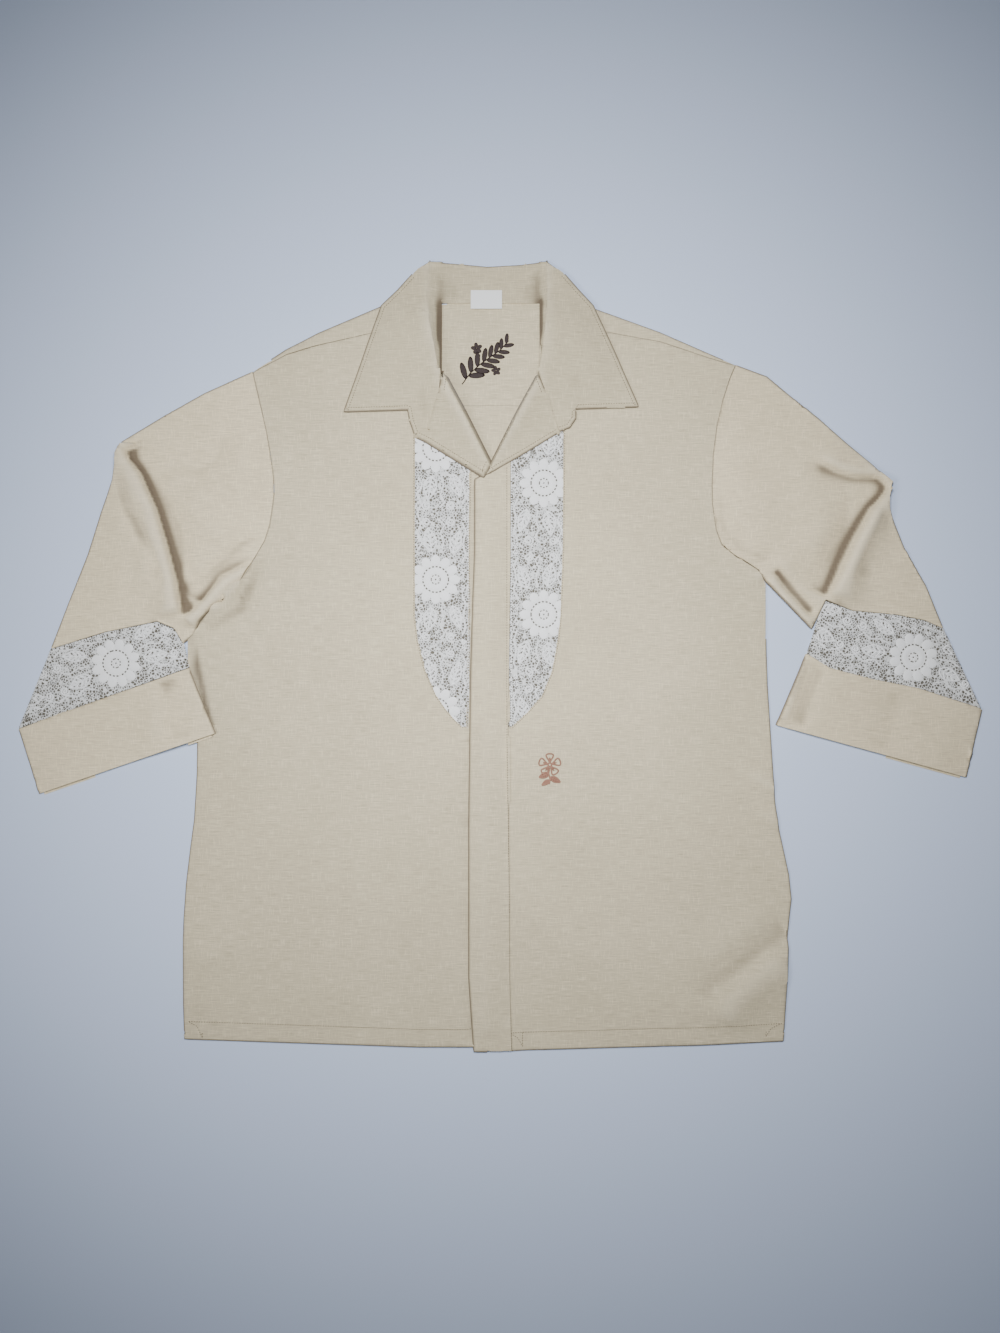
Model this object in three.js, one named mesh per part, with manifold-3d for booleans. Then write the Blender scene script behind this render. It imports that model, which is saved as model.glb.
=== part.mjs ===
// A Hawaiian wedding shirt lying flat on its back: linen body, camp collar, fly placket,
// lace beside the placket and in both elbow sleeves, wide plain cuffs.
// Millimetres, +Z up. The origin is under the middle of the shirt. +Y points to the collar,
// -X is the left of the shirt as it lies.
import * as THREE from 'three';
import { mergeVertices } from 'three/addons/utils/BufferGeometryUtils.js';
import Module from 'manifold-3d';

const wasm = await Module();
wasm.setup();

// ---- driving sizes ----
const cloth = 1.2; // wall of the cloth
const seamGap = 0.3; // space between pieces at a seam
const frontLevel = cloth + seamGap; // underside of the fronts where they lie on the back
const turnedLevel = frontLevel + cloth + 2 * seamGap; // underside of what lies on the fronts
const flatTube = frontLevel + cloth; // height of a cloth tube pressed flat
const bodyPuff = 2; // how far the middle of the front stands off the back
const bodyPuffWide = 70; // the cloth rises to that over this distance from its edge
const sleevePuff = 3;
const sleevePuffWide = 45;
const cuffPuff = 2.2;
const cuffPuffWide = 25;
const foldWall = 1.6; // a tube's hollow ends this far inside its folded edge
const foldTaper = 18; // folds fade out over this distance from the body's edge
const yokeSeamUp = 258;
const collarMiddle = -10; // the collar's centre line
const fineCell = 16; // grid of the cloth near the collar
const coarseCell = 38; // and further away
const sleeveCell = 23;

// ---- the body's outline, a row for each station ----
// shoulder: fold over the shoulder and the front seam below it, from the armhole to the neck
const shoulderRows = [
  { outLeft: -254, foldLeft: 292, seamLeft: 292, outRight: 242, foldRight: 299, seamRight: 299 },
  { outLeft: -220, foldLeft: 314, seamLeft: 310, outRight: 215, foldRight: 311, seamRight: 307 },
  { outLeft: -187, foldLeft: 331, seamLeft: 320, outRight: 164, foldRight: 333, seamRight: 324 },
  { outLeft: -121, foldLeft: 359, seamLeft: 335, outRight: 95, foldRight: 358, seamRight: 336 },
  { outLeft: -67, foldLeft: 370, seamLeft: 347, outRight: 48, foldRight: 370, seamRight: 347 },
];
// armhole: from the shoulder down to the underarm
const armholeRows = [
  { outLeft: -254, upLeft: 292, outRight: 242, upRight: 299 },
  { outLeft: -247, upLeft: 262, outRight: 231, upRight: 270 },
  { outLeft: -239, upLeft: 226, outRight: 221, upRight: 224 },
  { outLeft: -232, upLeft: 179, outRight: 218, upRight: 171 },
  { outLeft: -234, upLeft: 151, outRight: 220, upRight: 146 },
  { outLeft: -240, upLeft: 123, outRight: 226, upRight: 118 },
  { outLeft: -255, upLeft: 97, outRight: 241, upRight: 104 },
  { outLeft: -270, upLeft: 72, outRight: 253, upRight: 97 },
  { outLeft: -285, upLeft: 58, outRight: 264, upRight: 90 },
];
// side seams: from the underarm down to the hem
const sideRows = [
  { up: 28, left: -311, right: 273 },
  { up: -20, left: -311, right: 274 },
  { up: -87, left: -310, right: 278 },
  { up: -158, left: -313, right: 283 },
  { up: -199, left: -318, right: 291 },
  { up: -243, left: -323, right: 299 },
  { up: -284, left: -325, right: 295 },
  { up: -304, left: -325, right: 296 },
  { up: -358, left: -325, right: 293 },
];
const underarmRight = [273, 75];
// hem: from the left side to the placket, and on to the right side
const hemRows = [
  { out: -324, up: -393 },
  { out: -262, up: -395 },
  { out: -176, up: -398 },
  { out: -83, up: -401 },
  { out: 12, up: -405 },
  { out: 28, up: -404 },
  { out: 205, up: -399 },
  { out: 291, up: -395 },
];
// placket: its free edge and its stitched edge, from the lapel down to the hem
const placketRows = [
  { up: 181, edge: -25, stitched: 11 },
  { up: 105, edge: -25, stitched: 11 },
  { up: 54, edge: -27, stitched: 10.5 },
  { up: -18, edge: -29, stitched: 9.5 },
  { up: -72, edge: -30, stitched: 8.5 },
  { up: -168, edge: -31, stitched: 8.5 },
  { up: -329, edge: -31, stitched: 10 },
  { up: -405, edge: -26, stitched: 12 },
];
const placketTop = [[11, 200], [-12, 188]];
const underlapEdge = 3; // the left front ends here, under the placket
const underlapHem = -401;
// front lace: outer and inner edges, from under the lapels down to the point
const frontLaceRows = [
  { up: 110, outLeft: -87, inLeft: -33, inRight: 7, outRight: 64 },
  { up: 42, outLeft: -87, inLeft: -33, inRight: 7, outRight: 61.5 },
  { up: 17, outLeft: -84, inLeft: -33, inRight: 7, outRight: 59 },
  { up: -15, outLeft: -76, inLeft: -34, inRight: 7, outRight: 53 },
  { up: -40, outLeft: -65, inLeft: -34, inRight: 7, outRight: 43 },
  { up: -57, outLeft: -53, inLeft: -35, inRight: 7, outRight: 28 },
  { up: -72, outLeft: -39, inLeft: -35, inRight: 7, outRight: 12 },
];
const frontLaceTop = { outer: 236, inner: 203 };

// ---- the turned-back collar and lapels ----
// roll: the line that the collar and lapels fold over, with its height above the fronts
// and how far out the turned cloth takes to come down
const rollRows = [
  { up: 405, left: -72, right: 47.5, high: 0.2, wide: 30 },
  { up: 385, left: -74, right: 48, high: 4, wide: 34 },
  { up: 362, left: -74, right: 48, high: 8, wide: 40 },
  { up: 340, left: -71, right: 46.5, high: 11, wide: 44 },
  { up: 317, left: -67, right: 43, high: 12, wide: 44 },
  { up: 292, left: -63, right: 40, high: 10, wide: 36 },
  { up: 286, left: -57.5, right: 38.5, high: 9, wide: 32 },
  { up: 250, left: -38, right: 18.5, high: 6, wide: 22 },
  { up: 197, left: -10, right: -9.5, high: 2.5, wide: 14 },
];
const standFoot = { left: -59.5, right: 40.5 }; // the neck seam, where the stand rises
const standEndUp = 293;
const standBend = 0.55; // height of the stand half way out, as a share of the roll's
const rollOverlap = 1.25; // the stand runs this far into the leaf at the roll line
const neckSeamUp = 363; // the same seam behind the neck
const collarFold = [[-73, 402], [-70, 405], [-45, 403], [-13, 400], [22, 402], [45, 405], [48.5, 402]];
// leaf: the collar's outer edge, from the fold behind the neck to the gorge
const leafRows = [
  { outLeft: -83, upLeft: 398, outRight: 64, upRight: 393 },
  { outLeft: -104, upLeft: 375, outRight: 80, upRight: 375 },
  { outLeft: -121, upLeft: 359, outRight: 95, upRight: 359 },
  { outLeft: -140, upLeft: 305, outRight: 119, upRight: 307 },
  { outLeft: -159, upLeft: 251, outRight: 141, upRight: 256 },
  { outLeft: -94, upLeft: 253, outRight: 77, upRight: 254 },
  { outLeft: -92, upLeft: 242, outRight: 77, upRight: 244 },
  { outLeft: -87, upLeft: 227.5, outRight: 71, upRight: 235 },
  { outLeft: -72, upLeft: 231.5, outRight: 60, upRight: 231 },
  { outLeft: -61, upLeft: 268, outRight: 49.5, upRight: 262 },
];
// lapel: below the gorge, round the free edge to the foot of the roll
const lapelRows = [
  { outLeft: -60.3, upLeft: 268, outRight: 48.8, upRight: 262 },
  { outLeft: -71.5, upLeft: 231, outRight: 59.4, upRight: 230.7 },
  { outLeft: -86, upLeft: 226.5, outRight: 58, upRight: 229 },
  { outLeft: -76, upLeft: 222, outRight: 20, upRight: 206 },
  { outLeft: -17, upLeft: 185.5, outRight: -13.5, upRight: 186.5 },
  { outLeft: -11.2, upLeft: 197, outRight: -8.6, upRight: 197 },
];
const label = { left: -30, right: 2, low: 357, high: 376, thick: 1 };

// ---- sleeves, lace bands and cuffs ----
// outer: along the top of the arm, from the shoulder over the elbow to the lace
const sleeveOuterLeft = [
  { out: -254, up: 292 }, { out: -303, up: 270 }, { out: -346, up: 246 }, { out: -388, up: 220 },
  { out: -392, up: 213 }, { out: -397, up: 182 }, { out: -409, up: 149 }, { out: -423, up: 105 },
  { out: -433, up: 79 }, { out: -461, up: 8 },
];
const sleeveOuterRight = [
  { out: 242, up: 299 }, { out: 274, up: 287 }, { out: 298, up: 267 }, { out: 327, up: 244 },
  { out: 356, up: 218 }, { out: 402, up: 179 }, { out: 398, up: 162 }, { out: 399, up: 151 },
  { out: 415, up: 111 }, { out: 437, up: 73 }, { out: 455, up: 29 },
];
// inner: the bunched underarm, from the armhole to the lace
const sleeveInnerLeft = [
  { out: -285, up: 58 }, { out: -294, up: 53 }, { out: -308, up: 37 }, { out: -316, up: 22 },
];
const sleeveInnerRight = [{ out: 264, up: 90 }, { out: 274.5, up: 76 }, { out: 320, up: 29 }];
// seams round the arm, from the outer edge to the inner one
const laceTopLeft = [
  { out: -461, up: 8 }, { out: -405, up: 25 }, { out: -351, up: 36 }, { out: -334, up: 29 },
  { out: -326, up: 14 },
];
const laceTopRight = [
  { out: 455, up: 29 }, { out: 436, up: 37 }, { out: 406, up: 43 }, { out: 362, up: 47 },
  { out: 334, up: 58 },
];
const cuffTopLeft = [{ out: -494, up: -74 }, { out: -407, up: -43 }, { out: -320, up: -12 }];
const cuffTopRight = [
  { out: 494, up: -54 }, { out: 429, up: -33 }, { out: 384, up: -24 }, { out: 338, up: -12 },
  { out: 316, up: 2 },
];
const cuffEndLeft = [{ out: -473, up: -141 }, { out: -383, up: -110 }, { out: -292, up: -79 }];
const cuffEndRight = [{ out: 478, up: -124 }, { out: 382, up: -98 }, { out: 285, up: -71 }];
// the left cuff's inner corner lies on the body's edge
const cuffRest = { out: -292, up: -79, high: 4.4, near: 52, far: 84 };

// ---- folds: a ridge from one point to the next, its height and half width ----
const bodyFolds = [
  { x: 288, y: -312, toX: 212, toY: -362, high: 5, wide: 26 },
  { x: 262, y: -268, toX: 196, toY: -322, high: 2.5, wide: 30 },
  { x: -312, y: -296, toX: -285, toY: -325, high: 2, wide: 14 },
  { x: -262, y: 84, toX: -278, toY: 48, high: 4, wide: 13 },
  { x: -278, y: 48, toX: -300, toY: 20, high: 3, wide: 12 },
];
const sleeveFolds = [
  { x: -391, y: 204, toX: -360, toY: 100, high: 6, wide: 14 },
  { x: -360, y: 100, toX: -336, toY: 52, high: 7, wide: 14 },
  { x: -372, y: 214, toX: -336, toY: 176, high: 4, wide: 16 },
  { x: -250, y: 150, toX: -300, toY: 90, high: 3, wide: 22 },
  { x: -296, y: 56, toX: -318, toY: 26, high: 5, wide: 10 },
  { x: 396, y: 166, toX: 370, toY: 112, high: 6, wide: 13 },
  { x: 370, y: 112, toX: 346, toY: 64, high: 6, wide: 13 },
  { x: 384, y: 188, toX: 340, toY: 192, high: 3, wide: 16 },
  { x: 232, y: 128, toX: 284, toY: 98, high: 4, wide: 14 },
];

// ---- colours ----
const linen = { color: 0xd8d0c0, roughness: 0.9, metalness: 0 };
const laceWhite = { color: 0xe6e7e6, roughness: 0.85, metalness: 0 };
const labelWhite = { color: 0xf2f3f4, roughness: 0.7, metalness: 0 };

// ---- small maths ----
const smooth = (from, to, value) => THREE.MathUtils.smoothstep(value, from, to);
const leftOf = (rows) => rows.map((row) => [row.outLeft, row.upLeft]);
const rightOf = (rows) => rows.map((row) => [row.outRight, row.upRight]);
const pointsOf = (rows) => rows.map((row) => [row.out, row.up]);
const moved = (points, across, up) => points.map(([x, y]) => [x + across, y + up]);
const backwards = (points) => [...points].reverse();

// A rounder line through the points.
function curved(points, steps) {
  const curve = new THREE.SplineCurve(points.map(([x, y]) => new THREE.Vector2(x, y)));
  return curve.getPoints(steps).map((point) => [point.x, point.y]);
}

// Value of a column at a height, between the rows of a table that runs downwards.
function atHeight(rows, up, column) {
  const next = rows.findIndex((row) => row.up <= up);
  if (next === 0) return rows[0][column];
  if (next < 0) return rows.at(-1)[column];
  const part = (rows[next - 1].up - up) / (rows[next - 1].up - rows[next].up);
  return THREE.MathUtils.lerp(rows[next - 1][column], rows[next][column], part);
}

function distanceToPiece(x, y, [fromX, fromY], [toX, toY]) {
  const alongX = toX - fromX;
  const alongY = toY - fromY;
  const share = ((x - fromX) * alongX + (y - fromY) * alongY) / (alongX ** 2 + alongY ** 2);
  const part = THREE.MathUtils.clamp(share, 0, 1);
  return Math.hypot(x - fromX - part * alongX, y - fromY - part * alongY);
}

function distanceTo(line, x, y) {
  let least = Infinity;
  for (let i = 1; i < line.length; i += 1) {
    least = Math.min(least, distanceToPiece(x, y, line[i - 1], line[i]));
  }
  return least;
}

// A closed outline moved out by a distance, or in by a negative one.
function grown(outline, by) {
  const turn = Math.sign(THREE.ShapeUtils.area(outline.map(([x, y]) => ({ x, y }))));
  return outline.map(([x, y], i) => {
    const [beforeX, beforeY] = outline.at(i - 1);
    const [afterX, afterY] = outline[(i + 1) % outline.length];
    const arriving = new THREE.Vector2(x - beforeX, y - beforeY).normalize();
    const leaving = new THREE.Vector2(afterX - x, afterY - y).normalize();
    const out = new THREE.Vector2(arriving.y + leaving.y, -arriving.x - leaving.x).normalize();
    const reach = by * turn / Math.max(0.4, out.x * arriving.y - out.y * arriving.x);
    return [x + out.x * reach, y + out.y * reach];
  });
}

// ---- solids ----
function solidOf(geometry) {
  geometry.deleteAttribute('normal');
  geometry.deleteAttribute('uv');
  const merged = mergeVertices(geometry, 1e-4);
  return new wasm.Manifold(new wasm.Mesh({
    numProp: 3,
    vertProperties: new Float32Array(merged.attributes.position.array),
    triVerts: new Uint32Array(merged.index.array),
  }));
}

function prism(outline) {
  const shape = new THREE.Shape(outline.map(([x, y]) => new THREE.Vector2(x, y)));
  const geometry = new THREE.ExtrudeGeometry(shape, { depth: 80, bevelEnabled: false });
  return solidOf(geometry.translate(0, 0, -10));
}

// The solid between two heights over a grid of lines.
function between(columns, rows, under, over) {
  const points = [];
  for (const height of [under, over]) {
    for (const y of rows) {
      for (const x of columns) points.push(x, y, height(x, y));
    }
  }
  const wide = columns.length;
  const layer = wide * rows.length;
  const faces = [];
  const quad = (a, b, c, d) => faces.push(a, b, c, a, c, d);
  for (let r = 0; r < rows.length - 1; r += 1) {
    for (let c = 0; c < wide - 1; c += 1) {
      const i = r * wide + c;
      quad(layer + i, layer + i + 1, layer + i + wide + 1, layer + i + wide);
      quad(i, i + wide, i + wide + 1, i + 1);
      if (r === 0) quad(i, i + 1, layer + i + 1, layer + i);
      if (r === rows.length - 2) {
        quad(i + wide + 1, i + wide, layer + i + wide, layer + i + wide + 1);
      }
      if (c === 0) quad(i + wide, i, layer + i, layer + i + wide);
      if (c === wide - 2) quad(i + 1, i + wide + 1, layer + i + wide + 1, layer + i + 1);
    }
  }
  const geometry = new THREE.BufferGeometry();
  geometry.setAttribute('position', new THREE.Float32BufferAttribute(points, 3));
  geometry.setIndex(faces);
  return solidOf(geometry);
}

function linesBetween(from, to, step) {
  const count = Math.round((to - from) / step);
  return Array.from({ length: count + 1 }, (_, i) => from + (to - from) * i / count);
}

// The lines of a grid that reach just past an outline.
function linesAround(lines, values) {
  const low = Math.min(...values);
  const high = Math.max(...values);
  const first = lines.findLastIndex((line) => line < low - 0.5);
  const last = lines.findIndex((line) => line > high + 0.5);
  return lines.slice(first, last + 1);
}

// All body layers share one grid, so that layers lying on each other stay evenly apart.
const bodyGrid = {
  columns: [
    ...linesBetween(-345, -176, coarseCell), ...linesBetween(-160, 160, fineCell),
    ...linesBetween(176, 322, coarseCell),
  ],
  rows: [...linesBetween(-425, 172, coarseCell), ...linesBetween(188, 417, fineCell)],
};
const sleeveGrid = {
  columns: linesBetween(-520, 520, sleeveCell),
  rows: linesBetween(-160, 320, sleeveCell),
};

function panel(outline, under, over, grid) {
  const columns = linesAround(grid.columns, outline.map(([x]) => x));
  const rows = linesAround(grid.rows, outline.map(([, y]) => y));
  return between(columns, rows, under, over).intersect(prism(outline));
}

function flatPanel(outline, low, high) {
  const shape = new THREE.Shape(outline.map(([x, y]) => new THREE.Vector2(x, y)));
  const geometry = new THREE.ExtrudeGeometry(shape, { depth: high - low, bevelEnabled: false });
  return solidOf(geometry.translate(0, 0, low));
}

// The outline of a band along a line, its ends cut short.
function ribbon(line, half, short) {
  const shorten = ([x, y], [toX, toY]) => {
    const part = short / Math.hypot(toX - x, toY - y);
    return [x + (toX - x) * part, y + (toY - y) * part];
  };
  const cut = [shorten(line[0], line[1]), ...line.slice(1, -1), shorten(line.at(-1), line.at(-2))];
  const side = (reach) => cut.map(([x, y], i) => {
    const [fromX, fromY] = cut[Math.max(0, i - 1)];
    const [toX, toY] = cut[Math.min(cut.length - 1, i + 1)];
    const along = new THREE.Vector2(toX - fromX, toY - fromY).normalize();
    return [x - along.y * reach, y + along.x * reach];
  });
  return [...side(half), ...backwards(side(-half))];
}

// ---- heights ----
const shoulderFoldLeft = shoulderRows.map((row) => [row.outLeft, row.foldLeft]);
const shoulderFoldRight = shoulderRows.map((row) => [row.outRight, row.foldRight]);
const shoulderSeamLeft = shoulderRows.map((row) => [row.outLeft, row.seamLeft]);
const shoulderSeamRight = shoulderRows.map((row) => [row.outRight, row.seamRight]);
const armholeLeft = curved(leftOf(armholeRows), 14);
const armholeRight = curved(rightOf(armholeRows), 14);
const sideLeft = curved(sideRows.map((row) => [row.left, row.up]), 10);
const sideRight = [underarmRight, ...curved(sideRows.map((row) => [row.right, row.up]), 14)];
const hemLine = pointsOf(hemRows);
const bodyEdge = [
  ...backwards(shoulderFoldLeft), ...armholeLeft.slice(1), ...sideLeft, ...hemLine,
  ...backwards(sideRight), ...backwards(armholeRight).slice(0, -1), ...shoulderFoldRight,
];

function foldsAt(folds, x, y) {
  let height = 0;
  for (const fold of folds) {
    const away = distanceToPiece(x, y, [fold.x, fold.y], [fold.toX, fold.toY]) / fold.wide;
    height = Math.max(height, fold.high * Math.exp(-away * away));
  }
  return height;
}

// How far a point lies outside the roll line, on its own side of the collar.
function outsideRoll(x, y) {
  const side = x < collarMiddle ? 'left' : 'right';
  return Math.max(0, Math.abs(x - collarMiddle) - Math.abs(atHeight(rollRows, y, side) - collarMiddle));
}

function rollRise(x, y) {
  const away = outsideRoll(x, y) / atHeight(rollRows, y, 'wide');
  return atHeight(rollRows, y, 'high') * Math.exp(-(away ** 1.4));
}

function bodyLift(x, y) {
  const inside = distanceTo(bodyEdge, x, y);
  const puff = bodyPuff * smooth(0, bodyPuffWide, inside);
  const underRoll = y > 190 ? 0.3 * rollRise(x, y) * smooth(0, 20, inside) : 0;
  return puff + underRoll + foldsAt(bodyFolds, x, y) * smooth(0, foldTaper, inside);
}

const onTable = () => 0;
const frontUnder = (x, y) => frontLevel + bodyLift(x, y);
const frontOver = (x, y) => frontUnder(x, y) + cloth;
const turnedUnder = (x, y) => turnedLevel + bodyLift(x, y) + rollRise(x, y);
const turnedOver = (x, y) => turnedUnder(x, y) + cloth;
const placketUnder = (x, y) => frontOver(x, y) + seamGap;
const placketOver = (x, y) => placketUnder(x, y) + cloth;

// ---- the body ----
const yokeLeft = armholeLeft.filter(([, y]) => y > yokeSeamUp);
const yokeRight = armholeRight.filter(([, y]) => y > yokeSeamUp);
const below = (line, up) => line.filter(([, y]) => y < up);
const hemLeft = hemLine.filter(([x]) => x < placketRows.at(-1).edge);
const hemRight = hemLine.filter(([x]) => x > underlapEdge);

// The seam with a neighbour is shared by moving this piece's edge in by half the gap.
const trimmed = (outline) => grown(outline, -seamGap / 2);

// Where a line that runs downwards crosses a height.
function atSide(line, up) {
  const next = line.findIndex(([, y]) => y <= up);
  const [fromX, fromY] = line[next - 1];
  const [toX, toY] = line[next];
  return THREE.MathUtils.lerp(fromX, toX, (fromY - up) / (fromY - toY));
}

function makeBack() {
  const outline = [
    [atSide(armholeLeft, yokeSeamUp), yokeSeamUp], ...below(armholeLeft, yokeSeamUp), ...sideLeft,
    ...hemLeft, [underlapEdge, underlapHem], ...hemRight, ...backwards(sideRight),
    ...backwards(below(armholeRight, yokeSeamUp)), [atSide(armholeRight, yokeSeamUp), yokeSeamUp],
  ];
  return flatPanel(trimmed(outline), 0, cloth);
}

function makeYoke() {
  const neck = [[standFoot.left - 1, neckSeamUp - 1], [standFoot.right + 1, neckSeamUp - 1]];
  const outline = [
    ...shoulderFoldLeft, ...neck, ...backwards(shoulderFoldRight), ...yokeRight.slice(1),
    [atSide(armholeRight, yokeSeamUp), yokeSeamUp], [atSide(armholeLeft, yokeSeamUp), yokeSeamUp],
    ...backwards(yokeLeft.slice(1)),
  ];
  let yoke = flatPanel(trimmed(outline), 0, cloth);
  for (const [fold, seam] of [
    [shoulderFoldLeft, shoulderSeamLeft], [shoulderFoldRight, shoulderSeamRight],
  ]) {
    const wrap = trimmed([...fold, ...backwards(seam.slice(1))]);
    const hollow = panel(moved(wrap, 0, -foldWall), () => cloth, frontUnder, bodyGrid);
    yoke = yoke.add(panel(wrap, onTable, frontOver, bodyGrid).subtract(hollow));
  }
  return yoke;
}

function laceOutline(inner, outer, innerColumn, outerColumn) {
  return [
    [inner, frontLaceTop.inner], ...frontLaceRows.map((row) => [row[innerColumn], row.up]),
    ...backwards(frontLaceRows.map((row) => [row[outerColumn], row.up])),
    [outer, frontLaceTop.outer],
  ];
}
const laceLeftOutline = laceOutline(-31, -87, 'inLeft', 'outLeft');
const laceRightOutline = laceOutline(7, 65, 'inRight', 'outRight');

const rollBelow = (side) => rollRows.filter((row) => row.up < standEndUp - 5)
  .map((row) => [row[side], row.up]);

function makeFrontLeft() {
  const outline = [
    [shoulderSeamLeft.at(-1)[0], standEndUp - 1], ...backwards(shoulderSeamLeft), ...armholeLeft.slice(1),
    ...sideLeft, ...hemLeft, [underlapEdge, underlapHem], [underlapEdge, 184],
    ...backwards(rollBelow('left')),
  ];
  const hole = prism(grown(laceLeftOutline, seamGap / 2));
  return panel(trimmed(outline), frontUnder, frontOver, bodyGrid).subtract(hole);
}

function makeFrontRight() {
  const inside = underlapEdge + 2;
  const outline = [
    [shoulderSeamRight.at(-1)[0], standEndUp - 1], ...rollBelow('right'), [inside, 188], [inside, -404.5],
    ...hemRight, ...backwards(sideRight), ...backwards(armholeRight).slice(0, -1), ...shoulderSeamRight,
  ];
  const hole = prism(grown(laceRightOutline, seamGap / 2));
  return panel(trimmed(outline), frontUnder, frontOver, bodyGrid).subtract(hole);
}

function makePlacket() {
  const outline = [
    ...placketTop, ...placketRows.map((row) => [row.edge, row.up]),
    ...backwards(placketRows.map((row) => [row.stitched, row.up])),
  ];
  return panel(outline, placketUnder, placketOver, bodyGrid);
}

const makeFrontLace = (outline) => panel(trimmed(outline), frontUnder, frontOver, bodyGrid);

// ---- the collar ----
const standRows = rollRows.filter((row) => row.up > standEndUp - 2);

// The stand between the neck seam and the roll line: one closed section for each row, and the
// wall that is the same cloth all the way up.
function makeStandSide(side) {
  const foot = standFoot[side];
  const outward = Math.sign(standRows[0][side] - foot);
  const sections = standRows.map((row) => {
    const top = turnedOver(row[side], row.up);
    const rim = row[side] + outward * rollOverlap;
    const middle = (foot + row[side]) / 2;
    const wall = outward * cloth;
    const bend = top * standBend;
    return [
      [foot, frontLevel + seamGap], [middle, bend], [rim, top - seamGap],
      [rim, top - cloth], [middle + wall, bend - 2 * cloth], [foot + wall, frontLevel],
    ].map(([x, z]) => [x, row.up, z]);
  });
  const size = sections[0].length;
  const faces = [];
  for (let r = 0; r < sections.length - 1; r += 1) {
    for (let k = 0; k < size; k += 1) {
      const a = r * size + k;
      const b = r * size + (k + 1) % size;
      faces.push(a, b, b + size, a, b + size, a + size);
    }
  }
  const last = (sections.length - 1) * size;
  for (const [p, q, s, t] of [[0, 1, 4, 5], [1, 2, 3, 4]]) {
    faces.push(p, s, q, p, t, s);
    faces.push(last + p, last + q, last + s, last + p, last + s, last + t);
  }
  if (side === 'right') faces.reverse();
  const geometry = new THREE.BufferGeometry();
  geometry.setAttribute('position', new THREE.Float32BufferAttribute(sections.flat(2), 3));
  geometry.setIndex(faces);
  return solidOf(geometry);
}

function makeLeaf(side) {
  const edge = side === 'left' ? leftOf(leafRows) : rightOf(leafRows);
  const roll = standRows.map((row) => [row[side], row.up]);
  return panel([...roll, ...backwards(edge)], turnedUnder, turnedOver, bodyGrid);
}

function makeCollar() {
  const seam = [[standFoot.right, neckSeamUp], [standFoot.left, neckSeamUp]];
  const outline = [...collarFold, ...seam];
  const behind = flatPanel(outline, 0, flatTube)
    .subtract(flatPanel(moved(outline, 0, -foldWall), cloth, frontLevel));
  return behind.add(makeLeaf('left')).add(makeLeaf('right'))
    .add(makeStandSide('left')).add(makeStandSide('right'));
}

function makeLapel(side) {
  const edge = side === 'left' ? leftOf(lapelRows) : rightOf(lapelRows);
  const roll = rollBelow(side);
  return panel([...roll.slice(0, -1), ...backwards(edge)], turnedUnder, turnedOver, bodyGrid);
}

function makeLabel() {
  const outline = [
    [label.left, label.low], [label.right, label.low], [label.right, label.high],
    [label.left, label.high],
  ];
  return flatPanel(outline, flatTube + seamGap, flatTube + seamGap + label.thick);
}

// ---- the sleeves ----
// A tube pressed flat and open at both ends: outer and inner folds, and a seam at each end.
function makeTube({ outer, inner, start, finish, lift, rest }) {
  const outline = trimmed([...outer, ...finish, ...backwards(inner), ...backwards(start)]);
  const over = (x, y) => rest(x, y) + flatTube + lift(x, y);
  const hollowUnder = (x, y) => rest(x, y) + cloth;
  const hollowOver = (x, y) => rest(x, y) + frontLevel + lift(x, y);
  const hollow = panel(grown(outline, -foldWall), hollowUnder, hollowOver, sleeveGrid);
  let tube = panel(outline, rest, over, sleeveGrid).subtract(hollow);
  for (const seam of [[outer[0], ...start, inner[0]], [outer.at(-1), ...finish, inner.at(-1)]]) {
    const opening = ribbon(seam, 1.5 * foldWall, foldWall + 2 * seamGap);
    tube = tube.subtract(panel(opening, hollowUnder, hollowOver, sleeveGrid));
  }
  return tube;
}

// How high a band lies: on the table, and over the body's edge where the cuff covers it.
const onBody = (x, y) => cuffRest.high
  * (1 - smooth(cuffRest.near, cuffRest.far, Math.hypot(x - cuffRest.out, y - cuffRest.up)));

function makeSleeve(side) {
  const left = side === 'left';
  const outer = pointsOf(left ? sleeveOuterLeft : sleeveOuterRight);
  const inner = pointsOf(left ? sleeveInnerLeft : sleeveInnerRight);
  const start = (left ? armholeLeft : armholeRight).slice(1, -1);
  const finish = pointsOf(left ? laceTopLeft : laceTopRight).slice(1);
  const edge = [...outer, ...finish.slice(-1), ...backwards(inner), ...backwards(start)];
  const lift = (x, y) => {
    const puff = sleevePuff * smooth(0, sleevePuffWide, distanceTo(outer, x, y));
    const inside = smooth(0, 12, distanceTo(edge, x, y));
    return (puff * smooth(0, 30, distanceTo(start, x, y)) + foldsAt(sleeveFolds, x, y)) * inside;
  };
  return makeTube({ outer, inner, start, finish, lift, rest: onTable });
}

function makeBand(top, bottom) {
  const outer = [top[0], bottom[0]];
  const inner = [top.at(-1), bottom.at(-1)];
  const lift = (x, y) => cuffPuff * smooth(0, cuffPuffWide, distanceTo(outer, x, y))
    * smooth(0, cuffPuffWide, distanceTo(inner, x, y));
  const start = top.slice(1, -1);
  const finish = bottom.slice(1, -1);
  return makeTube({ outer, inner, start, finish, lift, rest: onBody });
}

// ---- the shirt ----
const shirt = new THREE.Group();

function addPiece(name, solid, look) {
  const mesh = solid.getMesh();
  const geometry = new THREE.BufferGeometry();
  geometry.setAttribute('position', new THREE.BufferAttribute(mesh.vertProperties, 3));
  geometry.setIndex(new THREE.BufferAttribute(mesh.triVerts, 1));
  const piece = new THREE.Mesh(geometry, new THREE.MeshStandardMaterial(look));
  piece.name = name;
  shirt.add(piece);
}

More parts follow.
